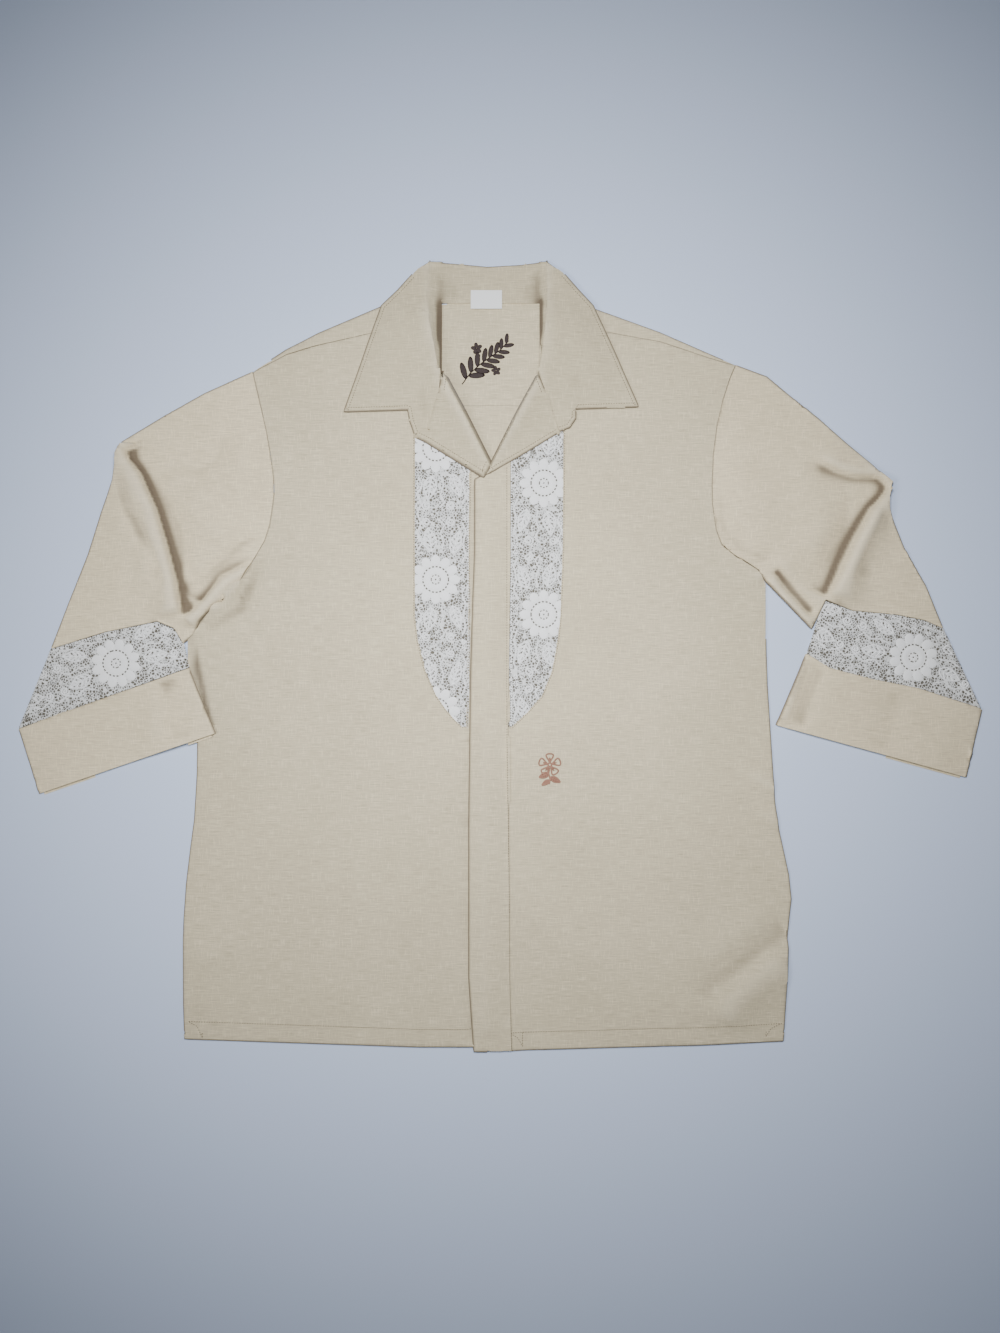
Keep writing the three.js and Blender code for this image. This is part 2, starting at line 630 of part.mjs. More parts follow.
addPiece('back', makeBack(), linen);
addPiece('yoke', makeYoke(), linen);
addPiece('front_left', makeFrontLeft(), linen);
addPiece('front_right', makeFrontRight(), linen);
addPiece('placket', makePlacket(), linen);
addPiece('lace_front_left', makeFrontLace(laceLeftOutline), laceWhite);
addPiece('lace_front_right', makeFrontLace(laceRightOutline), laceWhite);
addPiece('collar', makeCollar(), linen);
addPiece('lapel_left', makeLapel('left'), linen);
addPiece('lapel_right', makeLapel('right'), linen);
addPiece('neck_label', makeLabel(), labelWhite);
addPiece('sleeve_left', makeSleeve('left'), linen);
addPiece('sleeve_right', makeSleeve('right'), linen);
addPiece('lace_sleeve_left', makeBand(pointsOf(laceTopLeft), pointsOf(cuffTopLeft)), laceWhite);
addPiece('lace_sleeve_right', makeBand(pointsOf(laceTopRight), pointsOf(cuffTopRight)), laceWhite);
addPiece('cuff_left', makeBand(pointsOf(cuffTopLeft), pointsOf(cuffEndLeft)), linen);
addPiece('cuff_right', makeBand(pointsOf(cuffTopRight), pointsOf(cuffEndRight)), linen);

export default shirt;
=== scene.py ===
import math

import bpy
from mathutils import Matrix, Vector, noise


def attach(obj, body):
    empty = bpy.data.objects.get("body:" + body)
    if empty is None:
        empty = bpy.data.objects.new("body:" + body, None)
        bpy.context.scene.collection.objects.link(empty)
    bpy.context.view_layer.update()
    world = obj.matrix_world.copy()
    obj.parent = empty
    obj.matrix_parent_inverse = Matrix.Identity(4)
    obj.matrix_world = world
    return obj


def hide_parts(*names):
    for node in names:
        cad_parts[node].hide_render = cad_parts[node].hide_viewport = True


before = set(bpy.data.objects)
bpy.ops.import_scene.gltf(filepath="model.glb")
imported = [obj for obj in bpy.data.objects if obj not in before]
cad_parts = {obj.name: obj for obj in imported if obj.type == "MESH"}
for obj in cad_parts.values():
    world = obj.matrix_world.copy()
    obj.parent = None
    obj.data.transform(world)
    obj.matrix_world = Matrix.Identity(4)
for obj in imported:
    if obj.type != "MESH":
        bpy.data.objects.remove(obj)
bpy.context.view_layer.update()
mm = 0.001
clothWall = 1.1 * mm
layerGap = 0.25 * mm


# ---- camera and light ----
view = {
    "pixels": (1000, 1333),
    "metresPerPixel": 0.00103,
    "middle": (0.0, -0.0103),
    "height": 1.15,
    "sensor": 36,
}


def placeCamera():
    bpy.ops.object.camera_add(location=(*view["middle"], view["height"]), rotation=(0, 0, 0))
    camera = bpy.context.object
    camera.data.sensor_fit = "VERTICAL"
    camera.data.sensor_height = view["sensor"]
    camera.data.sensor_width = view["sensor"]
    tall = view["pixels"][1] * view["metresPerPixel"]
    camera.data.lens = view["sensor"] * view["height"] / tall
    bpy.context.scene.camera = camera


studio = {
    "lamps": {
        "softbox": {"place": (0.0, 0.26, 1.0), "size": 0.26, "power": 5.5, "beam": 108},
        "fill": {"place": (-0.9, -0.2, 1.3), "size": 0.5, "power": 1.3, "beam": 64},
    },
    "aim": (0.0, 0.0, 0),
    "sky": (0.95, 0.97, 1.0),
    "skyStrength": 0.08,
    "floorColour": (0.62, 0.725, 0.95),
}


def lightStudio():
    for name, lamp in studio["lamps"].items():
        bpy.ops.object.light_add(type="AREA", location=lamp["place"])
        light = bpy.context.object
        light.name = name
        light.data.size = lamp["size"]
        light.data.energy = lamp["power"]
        light.data.spread = math.radians(lamp["beam"])
        towards = Vector(studio["aim"]) - Vector(lamp["place"])
        light.rotation_euler = towards.to_track_quat("-Z", "Y").to_euler()
    world = bpy.data.worlds.new("studioSky")
    bpy.context.scene.world = world
    world.use_nodes = True
    sky = world.node_tree.nodes["Background"]
    sky.inputs["Color"].default_value = (*studio["sky"], 1)
    sky.inputs["Strength"].default_value = studio["skyStrength"]
    bpy.ops.mesh.primitive_plane_add(size=6, location=(0, 0, -0.0002))
    floor = bpy.context.object
    floor.name = "floor"
    paint = bpy.data.materials.new("paleFloor")
    paint.use_nodes = True
    shader = paint.node_tree.nodes["Principled BSDF"]
    shader.inputs["Base Color"].default_value = (*studio["floorColour"], 1)
    shader.inputs["Roughness"].default_value = 0.85
    floor.data.materials.append(paint)


placeCamera()
lightStudio()
print("camera and light placed")


# ---- working on meshes ----
def pick(piece):
    bpy.ops.object.select_all(action="DESELECT")
    piece.select_set(True)
    bpy.context.view_layer.objects.active = piece


def editAll(piece, kind="VERT"):
    pick(piece)
    bpy.ops.object.mode_set(mode="EDIT")
    bpy.ops.mesh.select_mode(type=kind)
    bpy.ops.mesh.select_all(action="SELECT")


def objectMode():
    bpy.ops.object.mode_set(mode="OBJECT")


def selectIn(piece, kind, wanted):
    editAll(piece, kind)
    bpy.ops.mesh.select_all(action="DESELECT")
    objectMode()
    parts = {"VERT": piece.data.vertices, "EDGE": piece.data.edges, "FACE": piece.data.polygons}[kind]
    found = 0
    for part in parts:
        part.select = bool(wanted(part))
        found += part.select
    bpy.ops.object.mode_set(mode="EDIT")
    return found


def copyNode(node, name):
    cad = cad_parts[node]
    bpy.ops.object.select_all(action="DESELECT")
    piece = bpy.data.objects.new(name, cad.data.copy())
    bpy.context.collection.objects.link(piece)
    piece.data.materials.clear()
    editAll(piece)
    bpy.ops.mesh.customdata_custom_splitnormals_clear()
    bpy.ops.mesh.remove_doubles(threshold=0.00001)
    objectMode()
    return piece


def keepFaces(piece, wanted):
    if selectIn(piece, "FACE", lambda face: not wanted(face)):
        bpy.ops.mesh.delete(type="FACE")
    objectMode()


# a flat even net of faces with the node's exact outline
def flatNet(node, name, cell, wanted, cuts=()):
    piece = copyNode(node, name)
    keepFaces(piece, wanted)
    for vertex in piece.data.vertices:
        vertex.co.z = 0
    editAll(piece)
    bpy.ops.mesh.dissolve_limited(angle_limit=0.01)
    xs = [vertex.co.x for vertex in piece.data.vertices]
    ys = [vertex.co.y for vertex in piece.data.vertices]
    for axis, values in ((0, xs), (1, ys)):
        low, high = min(values), max(values)
        steps = max(2, round((high - low) / (cell * mm)))
        for step in range(1, steps):
            place = [0, 0, 0]
            facing = [0, 0, 0]
            place[axis] = low + (high - low) * step / steps
            facing[axis] = 1
            bpy.ops.mesh.select_all(action="SELECT")
            bpy.ops.mesh.bisect(plane_co=place, plane_no=facing)
    for start, end in cuts:
        alongX, alongY = end[0] - start[0], end[1] - start[1]
        bpy.ops.mesh.select_all(action="SELECT")
        bpy.ops.mesh.bisect(plane_co=(start[0] * mm, start[1] * mm, 0), plane_no=(-alongY, alongX, 0))
    bpy.ops.mesh.select_all(action="SELECT")
    bpy.ops.mesh.remove_doubles(threshold=0.00005)
    objectMode()
    piece.data.attributes.new("hollow", "FLOAT", "POINT")
    return piece


def topOf(targets, x, y):
    best = None
    for target in targets:
        hit, place, _, _ = target.ray_cast((x, y, 0.2), (0, 0, -1))
        if hit and (best is None or place.z > best):
            best = place.z
    return best


# the height of the node's upper side at a point, also just past its edge
def nodeHeight(cad, x, y):
    height = topOf([cad], x, y)
    if height is not None:
        return height
    return cad.closest_point_on_mesh((x, y, 0.03))[1].z


def smoothHeights(piece, repeats):
    editAll(piece)
    bpy.ops.mesh.vertices_smooth(factor=0.5, repeat=repeats, xaxis=False, yaxis=False, zaxis=True)
    objectMode()


# a soft ridge or trough along a line; its widths lie left and right of the way it is drawn
def fold(line, high, left, right, fadeIn=20, fadeOut=20):
    return {"line": line, "high": high, "left": left, "right": right, "fadeIn": fadeIn, "fadeOut": fadeOut}


def creaseHeight(crease, x, y):
    line = crease["line"]
    total = sum(math.dist(line[i], line[i + 1]) for i in range(len(line) - 1))
    best, side, along, gone = 1e9, 1, 0, 0
    for (ax, ay), (bx, by) in zip(line, line[1:]):
        dx, dy = bx - ax, by - ay
        size = math.hypot(dx, dy)
        part = max(0, min(1, ((x - ax) * dx + (y - ay) * dy) / size**2))
        away = math.hypot(x - ax - part * dx, y - ay - part * dy)
        if away < best:
            best, along = away, gone + part * size
            side = dx * (y - ay) - dy * (x - ax)
        gone += size
    wide = crease["left"] if side > 0 else crease["right"]
    ends = min(1, along / crease["fadeIn"], (total - along) / crease["fadeOut"])
    ends = ends * ends * (3 - 2 * ends) if ends > 0 else 0
    if best > 3 * wide:
        return 0
    return crease["high"] * math.exp(-((best / wide) ** 2)) * ends


def addFolds(piece, folds, wander=0.0, scale=70):
    for vertex in piece.data.vertices:
        x, y = vertex.co.x / mm, vertex.co.y / mm
        extra = sum(creaseHeight(crease, x, y) for crease in folds)
        if wander:
            extra += wander * noise.noise(Vector((x / scale, y / scale, 3.1)))
            extra += 0.35 * wander * noise.noise(Vector((x / scale * 2.7, y / scale * 2.7, 8.4)))
        vertex.co.z += extra * mm


def restOn(piece, targets, wall=clothWall):
    for vertex in piece.data.vertices:
        under = topOf(targets, vertex.co.x, vertex.co.y)
        if under is not None:
            vertex.co.z = max(vertex.co.z, under + wall + layerGap)


def isTopFace(cad):
    def test(face):
        if face.normal.z < 0.08:
            return False
        start = face.center + Vector((0, 0, 0.0001))
        return not cad.ray_cast(start, (0, 0, 1))[0]

    return test


def applyModifier(piece, kind, **settings):
    pick(piece)
    modifier = piece.modifiers.new(kind.title(), kind)
    for key, value in settings.items():
        setattr(modifier, key, value)
    bpy.ops.object.modifier_apply(modifier=modifier.name)


def faceUp(piece):
    editAll(piece)
    bpy.ops.mesh.normals_make_consistent(inside=False)
    objectMode()
    highest = max(piece.data.polygons, key=lambda face: face.center.z + 0.01 * abs(face.normal.z))
    if highest.normal.z < 0:
        editAll(piece)
        bpy.ops.mesh.flip_normals()
        objectMode()


def giveWall(piece, wall=clothWall):
    faceUp(piece)
    applyModifier(piece, "SOLIDIFY", thickness=wall, offset=-1)
    pick(piece)
    bpy.ops.object.shade_smooth_by_angle(angle=math.radians(50))


# top sheet of a node, on the node's own form
def clothOn(look, name=None):
    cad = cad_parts[look["node"]]
    wanted = look.get("faces") or isTopFace(cad)
    name = name or look["node"] + "_cloth"
    piece = flatNet(look["node"], name, look["cell"], wanted, look.get("cuts", ()))
    for vertex in piece.data.vertices:
        vertex.co.z = nodeHeight(cad, vertex.co.x, vertex.co.y)
    smoothHeights(piece, look.get("soften", 20))
    addFolds(piece, look.get("folds", ()), look.get("wander", 0), look.get("wanderScale", 70))
    return piece


# rim edges of a sheet, with the face that each one closes
def rimOf(piece):
    uses = {}
    for face in piece.data.polygons:
        for key in face.edge_keys:
            uses.setdefault(key, []).append(face.center.copy())
    return {key: centres[0] for key, centres in uses.items() if len(centres) == 1}


def spot(place):
    return (round(place.x, 6), round(place.y, 6))


# painted shade along rims: how dark each kind of rim is painted
hollowAt = {"rolled": 1, "sunk": 0.8, "drawnIn": 0.22}  # how dark each kind of rim is marked


# the chosen rim edges, and the way out of the cloth at each of their ends
def rimWays(piece, chosen):
    ways, picked = {}, []
    for key, faceCentre in rimOf(piece).items():
        a, b = (piece.data.vertices[i].co for i in key)
        middle = (a + b) / 2
        if not chosen(middle):
            continue
        picked.append(key)
        side = Vector((b.y - a.y, a.x - b.x, 0)).normalized()
        if side.dot(middle - faceCentre) < 0:
            side = -side
        for end in key:
            ways[end] = ways.get(end, Vector()) + side
    return picked, ways


# extrudes the chosen rim, once drawn in, and lists the new vertices with their ways out; a rim drawn in far
# is given a little painted shade
def growRim(piece, chosen, inset=0.0):
    picked, ways = rimWays(piece, chosen)
    for i, way in ways.items():
        piece.data.vertices[i].co -= way.normalized() * inset
        piece.data.attributes["hollow"].data[i].value = hollowAt["drawnIn"] if inset > 0.7 * mm else 0.0
    wayAt = {spot(piece.data.vertices[i].co): way.normalized() for i, way in ways.items()}
    wanted = set(picked)
    selectIn(piece, "EDGE", lambda edge: tuple(sorted(edge.vertices)) in wanted)
    bpy.ops.mesh.extrude_edges_indiv()
    objectMode()
    return [(vertex, wayAt[spot(vertex.co)]) for vertex in piece.data.vertices if vertex.select]


# turns the chosen rim over and down, as the edge of folded cloth goes, and marks the rolled strip for full
# painted shade
def foldEdgeDown(piece, chosen, floorAt, bulge=0.8 * mm, inset=0.75 * mm):
    home = {}
    for vertex, way in growRim(piece, chosen, inset):
        start = vertex.co.copy()
        floor = floorAt(start) if callable(floorAt) else start.z - floorAt
        vertex.co += way * (bulge + inset)
        vertex.co.z = (start.z + floor) / 2
        piece.data.attributes["hollow"].data[vertex.index].value = hollowAt["rolled"]
        home[spot(vertex.co)] = (start.x, start.y, floor)
    bpy.ops.object.mode_set(mode="EDIT")
    bpy.ops.mesh.extrude_edges_indiv()
    objectMode()
    for vertex in [v for v in piece.data.vertices if v.select]:
        vertex.co = home[spot(vertex.co)]


# rolls a free edge down by its own thickness, with painted shade on the rolled strip
def roundEdge(piece, chosen, deep=1.5 * mm, bulge=0.7 * mm):
    foldEdgeDown(piece, chosen, deep, bulge)


# a strip of seam allowance that runs on under the neighbour
def tuckEdge(piece, chosen, reach=3 * mm, deep=1.2 * mm):
    for vertex, way in growRim(piece, chosen):
        vertex.co += way * reach
        vertex.co.z -= deep


# sinks a seamed edge into a narrow groove beside its neighbour, marked for painted shade
def sinkSeam(piece, chosen, inset=0.7 * mm, deep=1.0 * mm):
    for vertex, way in growRim(piece, chosen, inset):
        vertex.co += way * inset
        vertex.co.z -= deep
        piece.data.attributes["hollow"].data[vertex.index].value = hollowAt["sunk"]


# notes how far each point lies below the cloth around it, as painted shade in the linen's colour, and as a
# painted highlight where it lies above
def paintShadeInHollows(piece, rounds=30, deep=3.6 * mm):
    heights = [vertex.co.z for vertex in piece.data.vertices]
    beside = [[] for _ in heights]
    for edge in piece.data.edges:
        a, b = edge.vertices
        beside[a].append(b)
        beside[b].append(a)
    evened = heights
    for _ in range(rounds):
        evened = [0.5 * evened[i] + 0.5 * sum(evened[j] for j in beside[i]) / max(1, len(beside[i]))
                  for i in range(len(heights))]
    depths = [evened[i] - height for i, height in enumerate(heights)]
    mark = piece.data.attributes["hollow"]
    for i in range(len(depths)):
        soft = 0.4 * depths[i] + 0.6 * sum(depths[j] for j in beside[i]) / max(1, len(beside[i]))
        mark.data[i].value = max(-1, min(1, max(mark.data[i].value or -1, soft / deep)))


# a neighbour's painted shadow, kept in the same mark as the painted shade of the hollows; each is drawn like
# a fold
def paintShadowBeside(piece, shadows):
    mark = piece.data.attributes["hollow"].data
    for vertex in piece.data.vertices:
        for shadow in shadows:
            deep = creaseHeight(shadow, vertex.co.x / mm, vertex.co.y / mm)
            if deep > 0:
                mark[vertex.index].value = max(mark[vertex.index].value, deep)


# lines that follow the chosen rim, inset into the cloth, in metres
def linesBeside(piece, chosen, inset):
    picked, ways = rimWays(piece, chosen)
    unused = set(picked)
    at = {}
    for key in picked:
        for end in key:
            at.setdefault(end, []).append(key)
    lines = []
    while unused:
        ends = [i for i, keys in at.items() if sum(key in unused for key in keys) == 1]
        here = min(ends) if ends else min(min(key) for key in unused)
        line = []
        while here is not None:
            line.append(piece.data.vertices[here].co - ways[here].normalized() * inset * mm)
            onward = [key for key in at[here] if key in unused]
            if onward:
                unused.discard(onward[0])
                here = sum(onward[0]) - here
            else:
                here = None
        lines.append(line)
    return lines


def around(centre, reach, angle):
    return (centre[0] + reach * math.cos(angle), centre[1] + reach * math.sin(angle))


def evenPoints(line, pitch):
    points, owed = [], 0.0
    for a, b in zip(line, line[1:]):
        size = (b - a).length
        while owed < size:
            points.append((a.lerp(b, owed / size), (b - a).normalized()))
            owed += pitch * mm
        owed -= size
    return points


def joinAll(pieces, name):
    bpy.ops.object.select_all(action="DESELECT")
    for piece in pieces:
        piece.select_set(True)
    bpy.context.view_layer.objects.active = pieces[0]
    bpy.ops.object.join()
    pieces[0].name = name
    bpy.ops.object.transform_apply(location=True, rotation=True, scale=True)
    return pieces[0]


def copyAt(template, place, turn=0.0, size=(1, 1, 1)):
    made = template.copy()
    made.data = template.data.copy()
    bpy.context.collection.objects.link(made)
    made.location = (place[0] * mm, place[1] * mm, place[2] * mm if len(place) > 2 else 0)
    made.rotation_euler = (0, 0, turn)
    made.scale = size
    return made


# a low rounded shape, its size in mm and its length along x
def domeTemplate(name, size, sides, rings):
    bpy.ops.object.select_all(action="DESELECT")
    bpy.ops.mesh.primitive_uv_sphere_add(segments=sides, ring_count=rings, radius=mm / 2)
    dome = bpy.context.object
    dome.name = name
    dome.scale = size
    bpy.ops.object.transform_apply(location=False, rotation=False, scale=True)
    bpy.ops.object.shade_smooth()
    return dome


def putAway(template):
    bpy.data.objects.remove(template, do_unlink=True)


# lays flat work on cloth: each vertex keeps its own height above the surface
def layOn(piece, targets, lift=0.0):
    for vertex in piece.data.vertices:
        under = topOf(targets, vertex.co.x, vertex.co.y)
        if under is None:
            under = targets[0].closest_point_on_mesh(vertex.co)[1].z
        vertex.co.z += under + lift * mm


stitchLook = {"pitch": 2.6, "long": 2.2, "wide": 1.0, "tall": 0.6, "lift": 0.02, "tilt": 0.8}


def stitchRows(name, lines, targets, look=stitchLook):
    template = domeTemplate("stitch", (look["long"], look["wide"], look["tall"]), 5, 3)
    stitches = []
    for line in lines:
        for place, way in evenPoints(line, look["pitch"]):
            height = topOf(targets, place.x, place.y)
            if height is None:
                continue
            ahead = topOf(targets, place.x + way.x * mm, place.y + way.y * mm)
            rise = math.atan2((ahead or height) - height, mm)
            at = (place.x / mm, place.y / mm, height / mm + look["lift"])
            stitch = copyAt(template, at, math.atan2(way.y, way.x))
            stitch.rotation_euler.y = -max(-look["tilt"], min(look["tilt"], rise))
            stitches.append(stitch)
    putAway(template)
    return joinAll(stitches, name)


# round cords along lines given in mm, flattened to their share of height
def cordsAlong(name, lines, radius, flat=1.0):
    curve = bpy.data.curves.new(name, "CURVE")
    curve.dimensions = "3D"
    curve.bevel_depth = radius * mm
    curve.bevel_resolution = 0
    curve.use_fill_caps = True
    for line in lines:
        spline = curve.splines.new("POLY")
        spline.points.add(len(line) - 1)
        for point, (x, y) in zip(spline.points, line):
            point.co = (x * mm, y * mm, 0, 1)
    cords = bpy.data.objects.new(name, curve)
    bpy.context.collection.objects.link(cords)
    pick(cords)
    bpy.ops.object.convert(target="MESH")
    cords = bpy.context.object
    for vertex in cords.data.vertices:
        vertex.co.z *= flat
    bpy.ops.object.shade_smooth()
    return cords


def touches(names, reach=0.6 * mm):
    others = [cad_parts[name] for name in names]

    def test(place):
        for other in others:
            found, near, _, _ = other.closest_point_on_mesh(place)
            if found and (near - place).length < reach:
                return True
        return False

    return test


def nearLine(line, reach=1.2):
    def test(place):
        x, y = place.x / mm, place.y / mm
        for (ax, ay), (bx, by) in zip(line, line[1:]):
            dx, dy = bx - ax, by - ay
            part = max(0, min(1, ((x - ax) * dx + (y - ay) * dy) / (dx * dx + dy * dy)))
            if math.hypot(x - ax - part * dx, y - ay - part * dy) < reach:
                return True
        return False

    return test


tubeLook = {
    "apart": 2.4 * mm,  # least height of the upper sheet over the lower one
    "roll": 1.3 * mm,
    "seamWide": 0.5 * mm, "seamDeep": 0.7 * mm,
    "peek": 2.6 * mm,
    "middle": 1.5 * mm,
    # rounds of smoothing, and the depth in a hollow that gives full painted shade
    "rounds": 30, "hollow": 2.5 * mm,
}


# a tube of cloth pressed flat: the upper sheet, turned down along its folded edges to a lower one
def tubeOn(look):
    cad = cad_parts[look["node"]]
    upper = clothOn(look)
    lower = flatNet(look["node"], "lowerSheet", look["cell"], isTopFace(cad))

    def floorAt(x, y):
        hit, place, _, _ = cad.ray_cast((x, y, -0.01), (0, 0, 1))
        if hit:
            return place.z
        return cad.closest_point_on_mesh((x, y, -0.005))[1].z

    isOpen = touches(look.get("joins", ()))
    mouths = [nearLine(line) for line in look.get("mouths", ())]
    for vertex in upper.data.vertices:
        vertex.co.z = max(vertex.co.z, floorAt(vertex.co.x, vertex.co.y) + tubeLook["apart"])
    for vertex in lower.data.vertices:
        vertex.co.z = floorAt(vertex.co.x, vertex.co.y)

    def isSeam(place):
        return isOpen(Vector((place.x, place.y, tubeLook["middle"])))

    def isFolded(place):
        return not isSeam(place) and not any(mouth(place) for mouth in mouths)

    foldEdgeDown(upper, isFolded, lambda place: floorAt(place.x, place.y), tubeLook["roll"])
    sinkSeam(upper, isSeam, tubeLook["seamWide"], tubeLook["seamDeep"])
    for line in look.get("peeks", ()):
        tuckEdge(lower, nearLine(line), tubeLook["peek"], 0)
    # painted shade in the upper sheet's hollows, on top of the painted shade of its rims
    paintShadeInHollows(upper, tubeLook["rounds"], tubeLook["hollow"])
    pick(upper)
    lower.select_set(True)
    bpy.ops.object.join()
    editAll(upper)
    bpy.ops.mesh.remove_doubles(threshold=0.00001)
    objectMode()
    return upper


finished = []  # the nodes stay in view until every piece is made on them


# presses rolled edges that dip below the floor back up to it, with their layers in order
def settleOnFloor(piece, bottom=0.05 * mm, top=0.6 * mm):
    low = min(vertex.co.z for vertex in piece.data.vertices)
    if low < bottom:
        for vertex in piece.data.vertices:
            if vertex.co.z < top:
                vertex.co.z = bottom + (vertex.co.z - low) * (top - bottom) / (top - low)


def finishPiece(piece, material, nodes=()):
    settleOnFloor(piece)
    piece.data.materials.clear()
    piece.data.materials.append(material)
    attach(piece, "root")
    finished.append((piece, nodes))


# ---- shader maths ----
class Value:
    def __init__(self, tree, socket):
        self.tree = tree
        self.socket = socket

    def combine(self, operation, other=None, swap=False):
        math_ = self.tree.nodes.new("ShaderNodeMath")
        math_.operation = operation
        slots = (1, 0) if swap else (0, 1)
        self.tree.links.new(self.socket, math_.inputs[slots[0]])
        if isinstance(other, Value):
            self.tree.links.new(other.socket, math_.inputs[slots[1]])
        elif other is not None:
            math_.inputs[slots[1]].default_value = other
        return Value(self.tree, math_.outputs[0])

    def __add__(self, other):
        return self.combine("ADD", other)

    __radd__ = __add__

    def __mul__(self, other):
        return self.combine("MULTIPLY", other)

    __rmul__ = __mul__

    def __sub__(self, other):
        return self.combine("SUBTRACT", other)

    def __rsub__(self, other):
        return self.combine("SUBTRACT", other, swap=True)

    def __truediv__(self, other):
        return self.combine("DIVIDE", other)

    def __pow__(self, other):
        return self.combine("POWER", other)

    def __abs__(self):
        return self.combine("ABSOLUTE")

    def least(self, other):
        return self.combine("MINIMUM", other)

    def most(self, other):
        return self.combine("MAXIMUM", other)

    def below(self, other):
        return self.combine("LESS_THAN", other)

    def above(self, other):
        return self.combine("GREATER_THAN", other)

    def angleTo(self, other):
        return self.combine("ARCTAN2", other)

    def sine(self):
        return self.combine("SINE")

    def cosine(self):
        return self.combine("COSINE")

    def root(self):
        return self.combine("SQRT")

    def wrapped(self, size):  # distance from the nearest multiple of size
        part = (self / size + 0.5).combine("FRACT") - 0.5
        return abs(part) * size


class Paint:
    def __init__(self, name):
        self.material = bpy.data.materials.new(name)
        self.material.use_nodes = True
        self.tree = self.material.node_tree
        self.shader = self.tree.nodes["Principled BSDF"]

    def node(self, kind, settings=None, **inputs):
        made = self.tree.nodes.new("ShaderNode" + kind)
        for key, value in (settings or {}).items():
            setattr(made, key, value)
        for key, value in inputs.items():
            socket = made.inputs[int(key[1:]) if key[0] == "_" else key]
            if isinstance(value, Value):
                self.tree.links.new(value.socket, socket)
            else:
                socket.default_value = value
        return made

    def out(self, made, which=0):
        return Value(self.tree, made.outputs[which])

    def place(self, turn=0, scale=(1, 1, 1), shift=(0, 0, 0)):
        coords = self.out(self.node("TexCoord"), "Object")
        mapping = self.node("Mapping", Vector=coords, Rotation=(0, 0, turn), Scale=scale, Location=shift)
        return self.out(mapping)

    def axes(self, vector):
        parts = self.node("SeparateXYZ", Vector=vector)
        return self.out(parts, "X"), self.out(parts, "Y")

    def noise(self, vector, scale, detail=2.0, rough=0.5):
        made = self.node("TexNoise", Vector=vector, Scale=scale, Detail=detail, Roughness=rough)
        return self.out(made, "Fac" if "Fac" in made.outputs else 0)

    def spread(self, value, low, high, toLow=0.0, toHigh=1.0):
        made = self.node("MapRange", {"interpolation_type": "SMOOTHSTEP"}, Value=value)
        for key, number in (("From Min", low), ("From Max", high), ("To Min", toLow), ("To Max", toHigh)):
            made.inputs[key].default_value = number
        return self.out(made)

    def blend(self, share, first, second):
        mix = self.node("Mix", {"data_type": "RGBA"})
        for socket, value in ((mix.inputs[0], share), (mix.inputs[6], first), (mix.inputs[7], second)):
            if isinstance(value, Value):
                self.tree.links.new(value.socket, socket)
            elif isinstance(value, tuple):
                socket.default_value = (*value, 1)
            else:
                socket.default_value = value
        return Value(self.tree, mix.outputs[2])

    def feed(self, socket, value):
        if isinstance(value, Value):
            self.tree.links.new(value.socket, self.shader.inputs[socket])
        else:
            self.shader.inputs[socket].default_value = value

    def bump(self, height, strength, distance):
        made = self.node("Bump", Height=height, Strength=strength, Distance=distance)
        self.feed("Normal", self.out(made, "Normal"))


linenLook = {
    "light": (0.80, 0.705, 0.50),
    "dark": (0.49, 0.425, 0.29),
    # colour of the painted shade in hollows and along rims, colour of the painted highlight on crests, and
    # how strong the painted shade is
    "hollow": (0.10, 0.07, 0.045),
    "paintedHighlight": (0.86, 0.78, 0.60),
    "hollowShade": 0.9,
    "thread": 0.55 * mm,  # spacing of the yarns
    "slubLong": 15 * mm,
    "slubTall": 0.8 * mm,
    "streakLong": 70 * mm,
    "streakTall": 2.2 * mm,
}


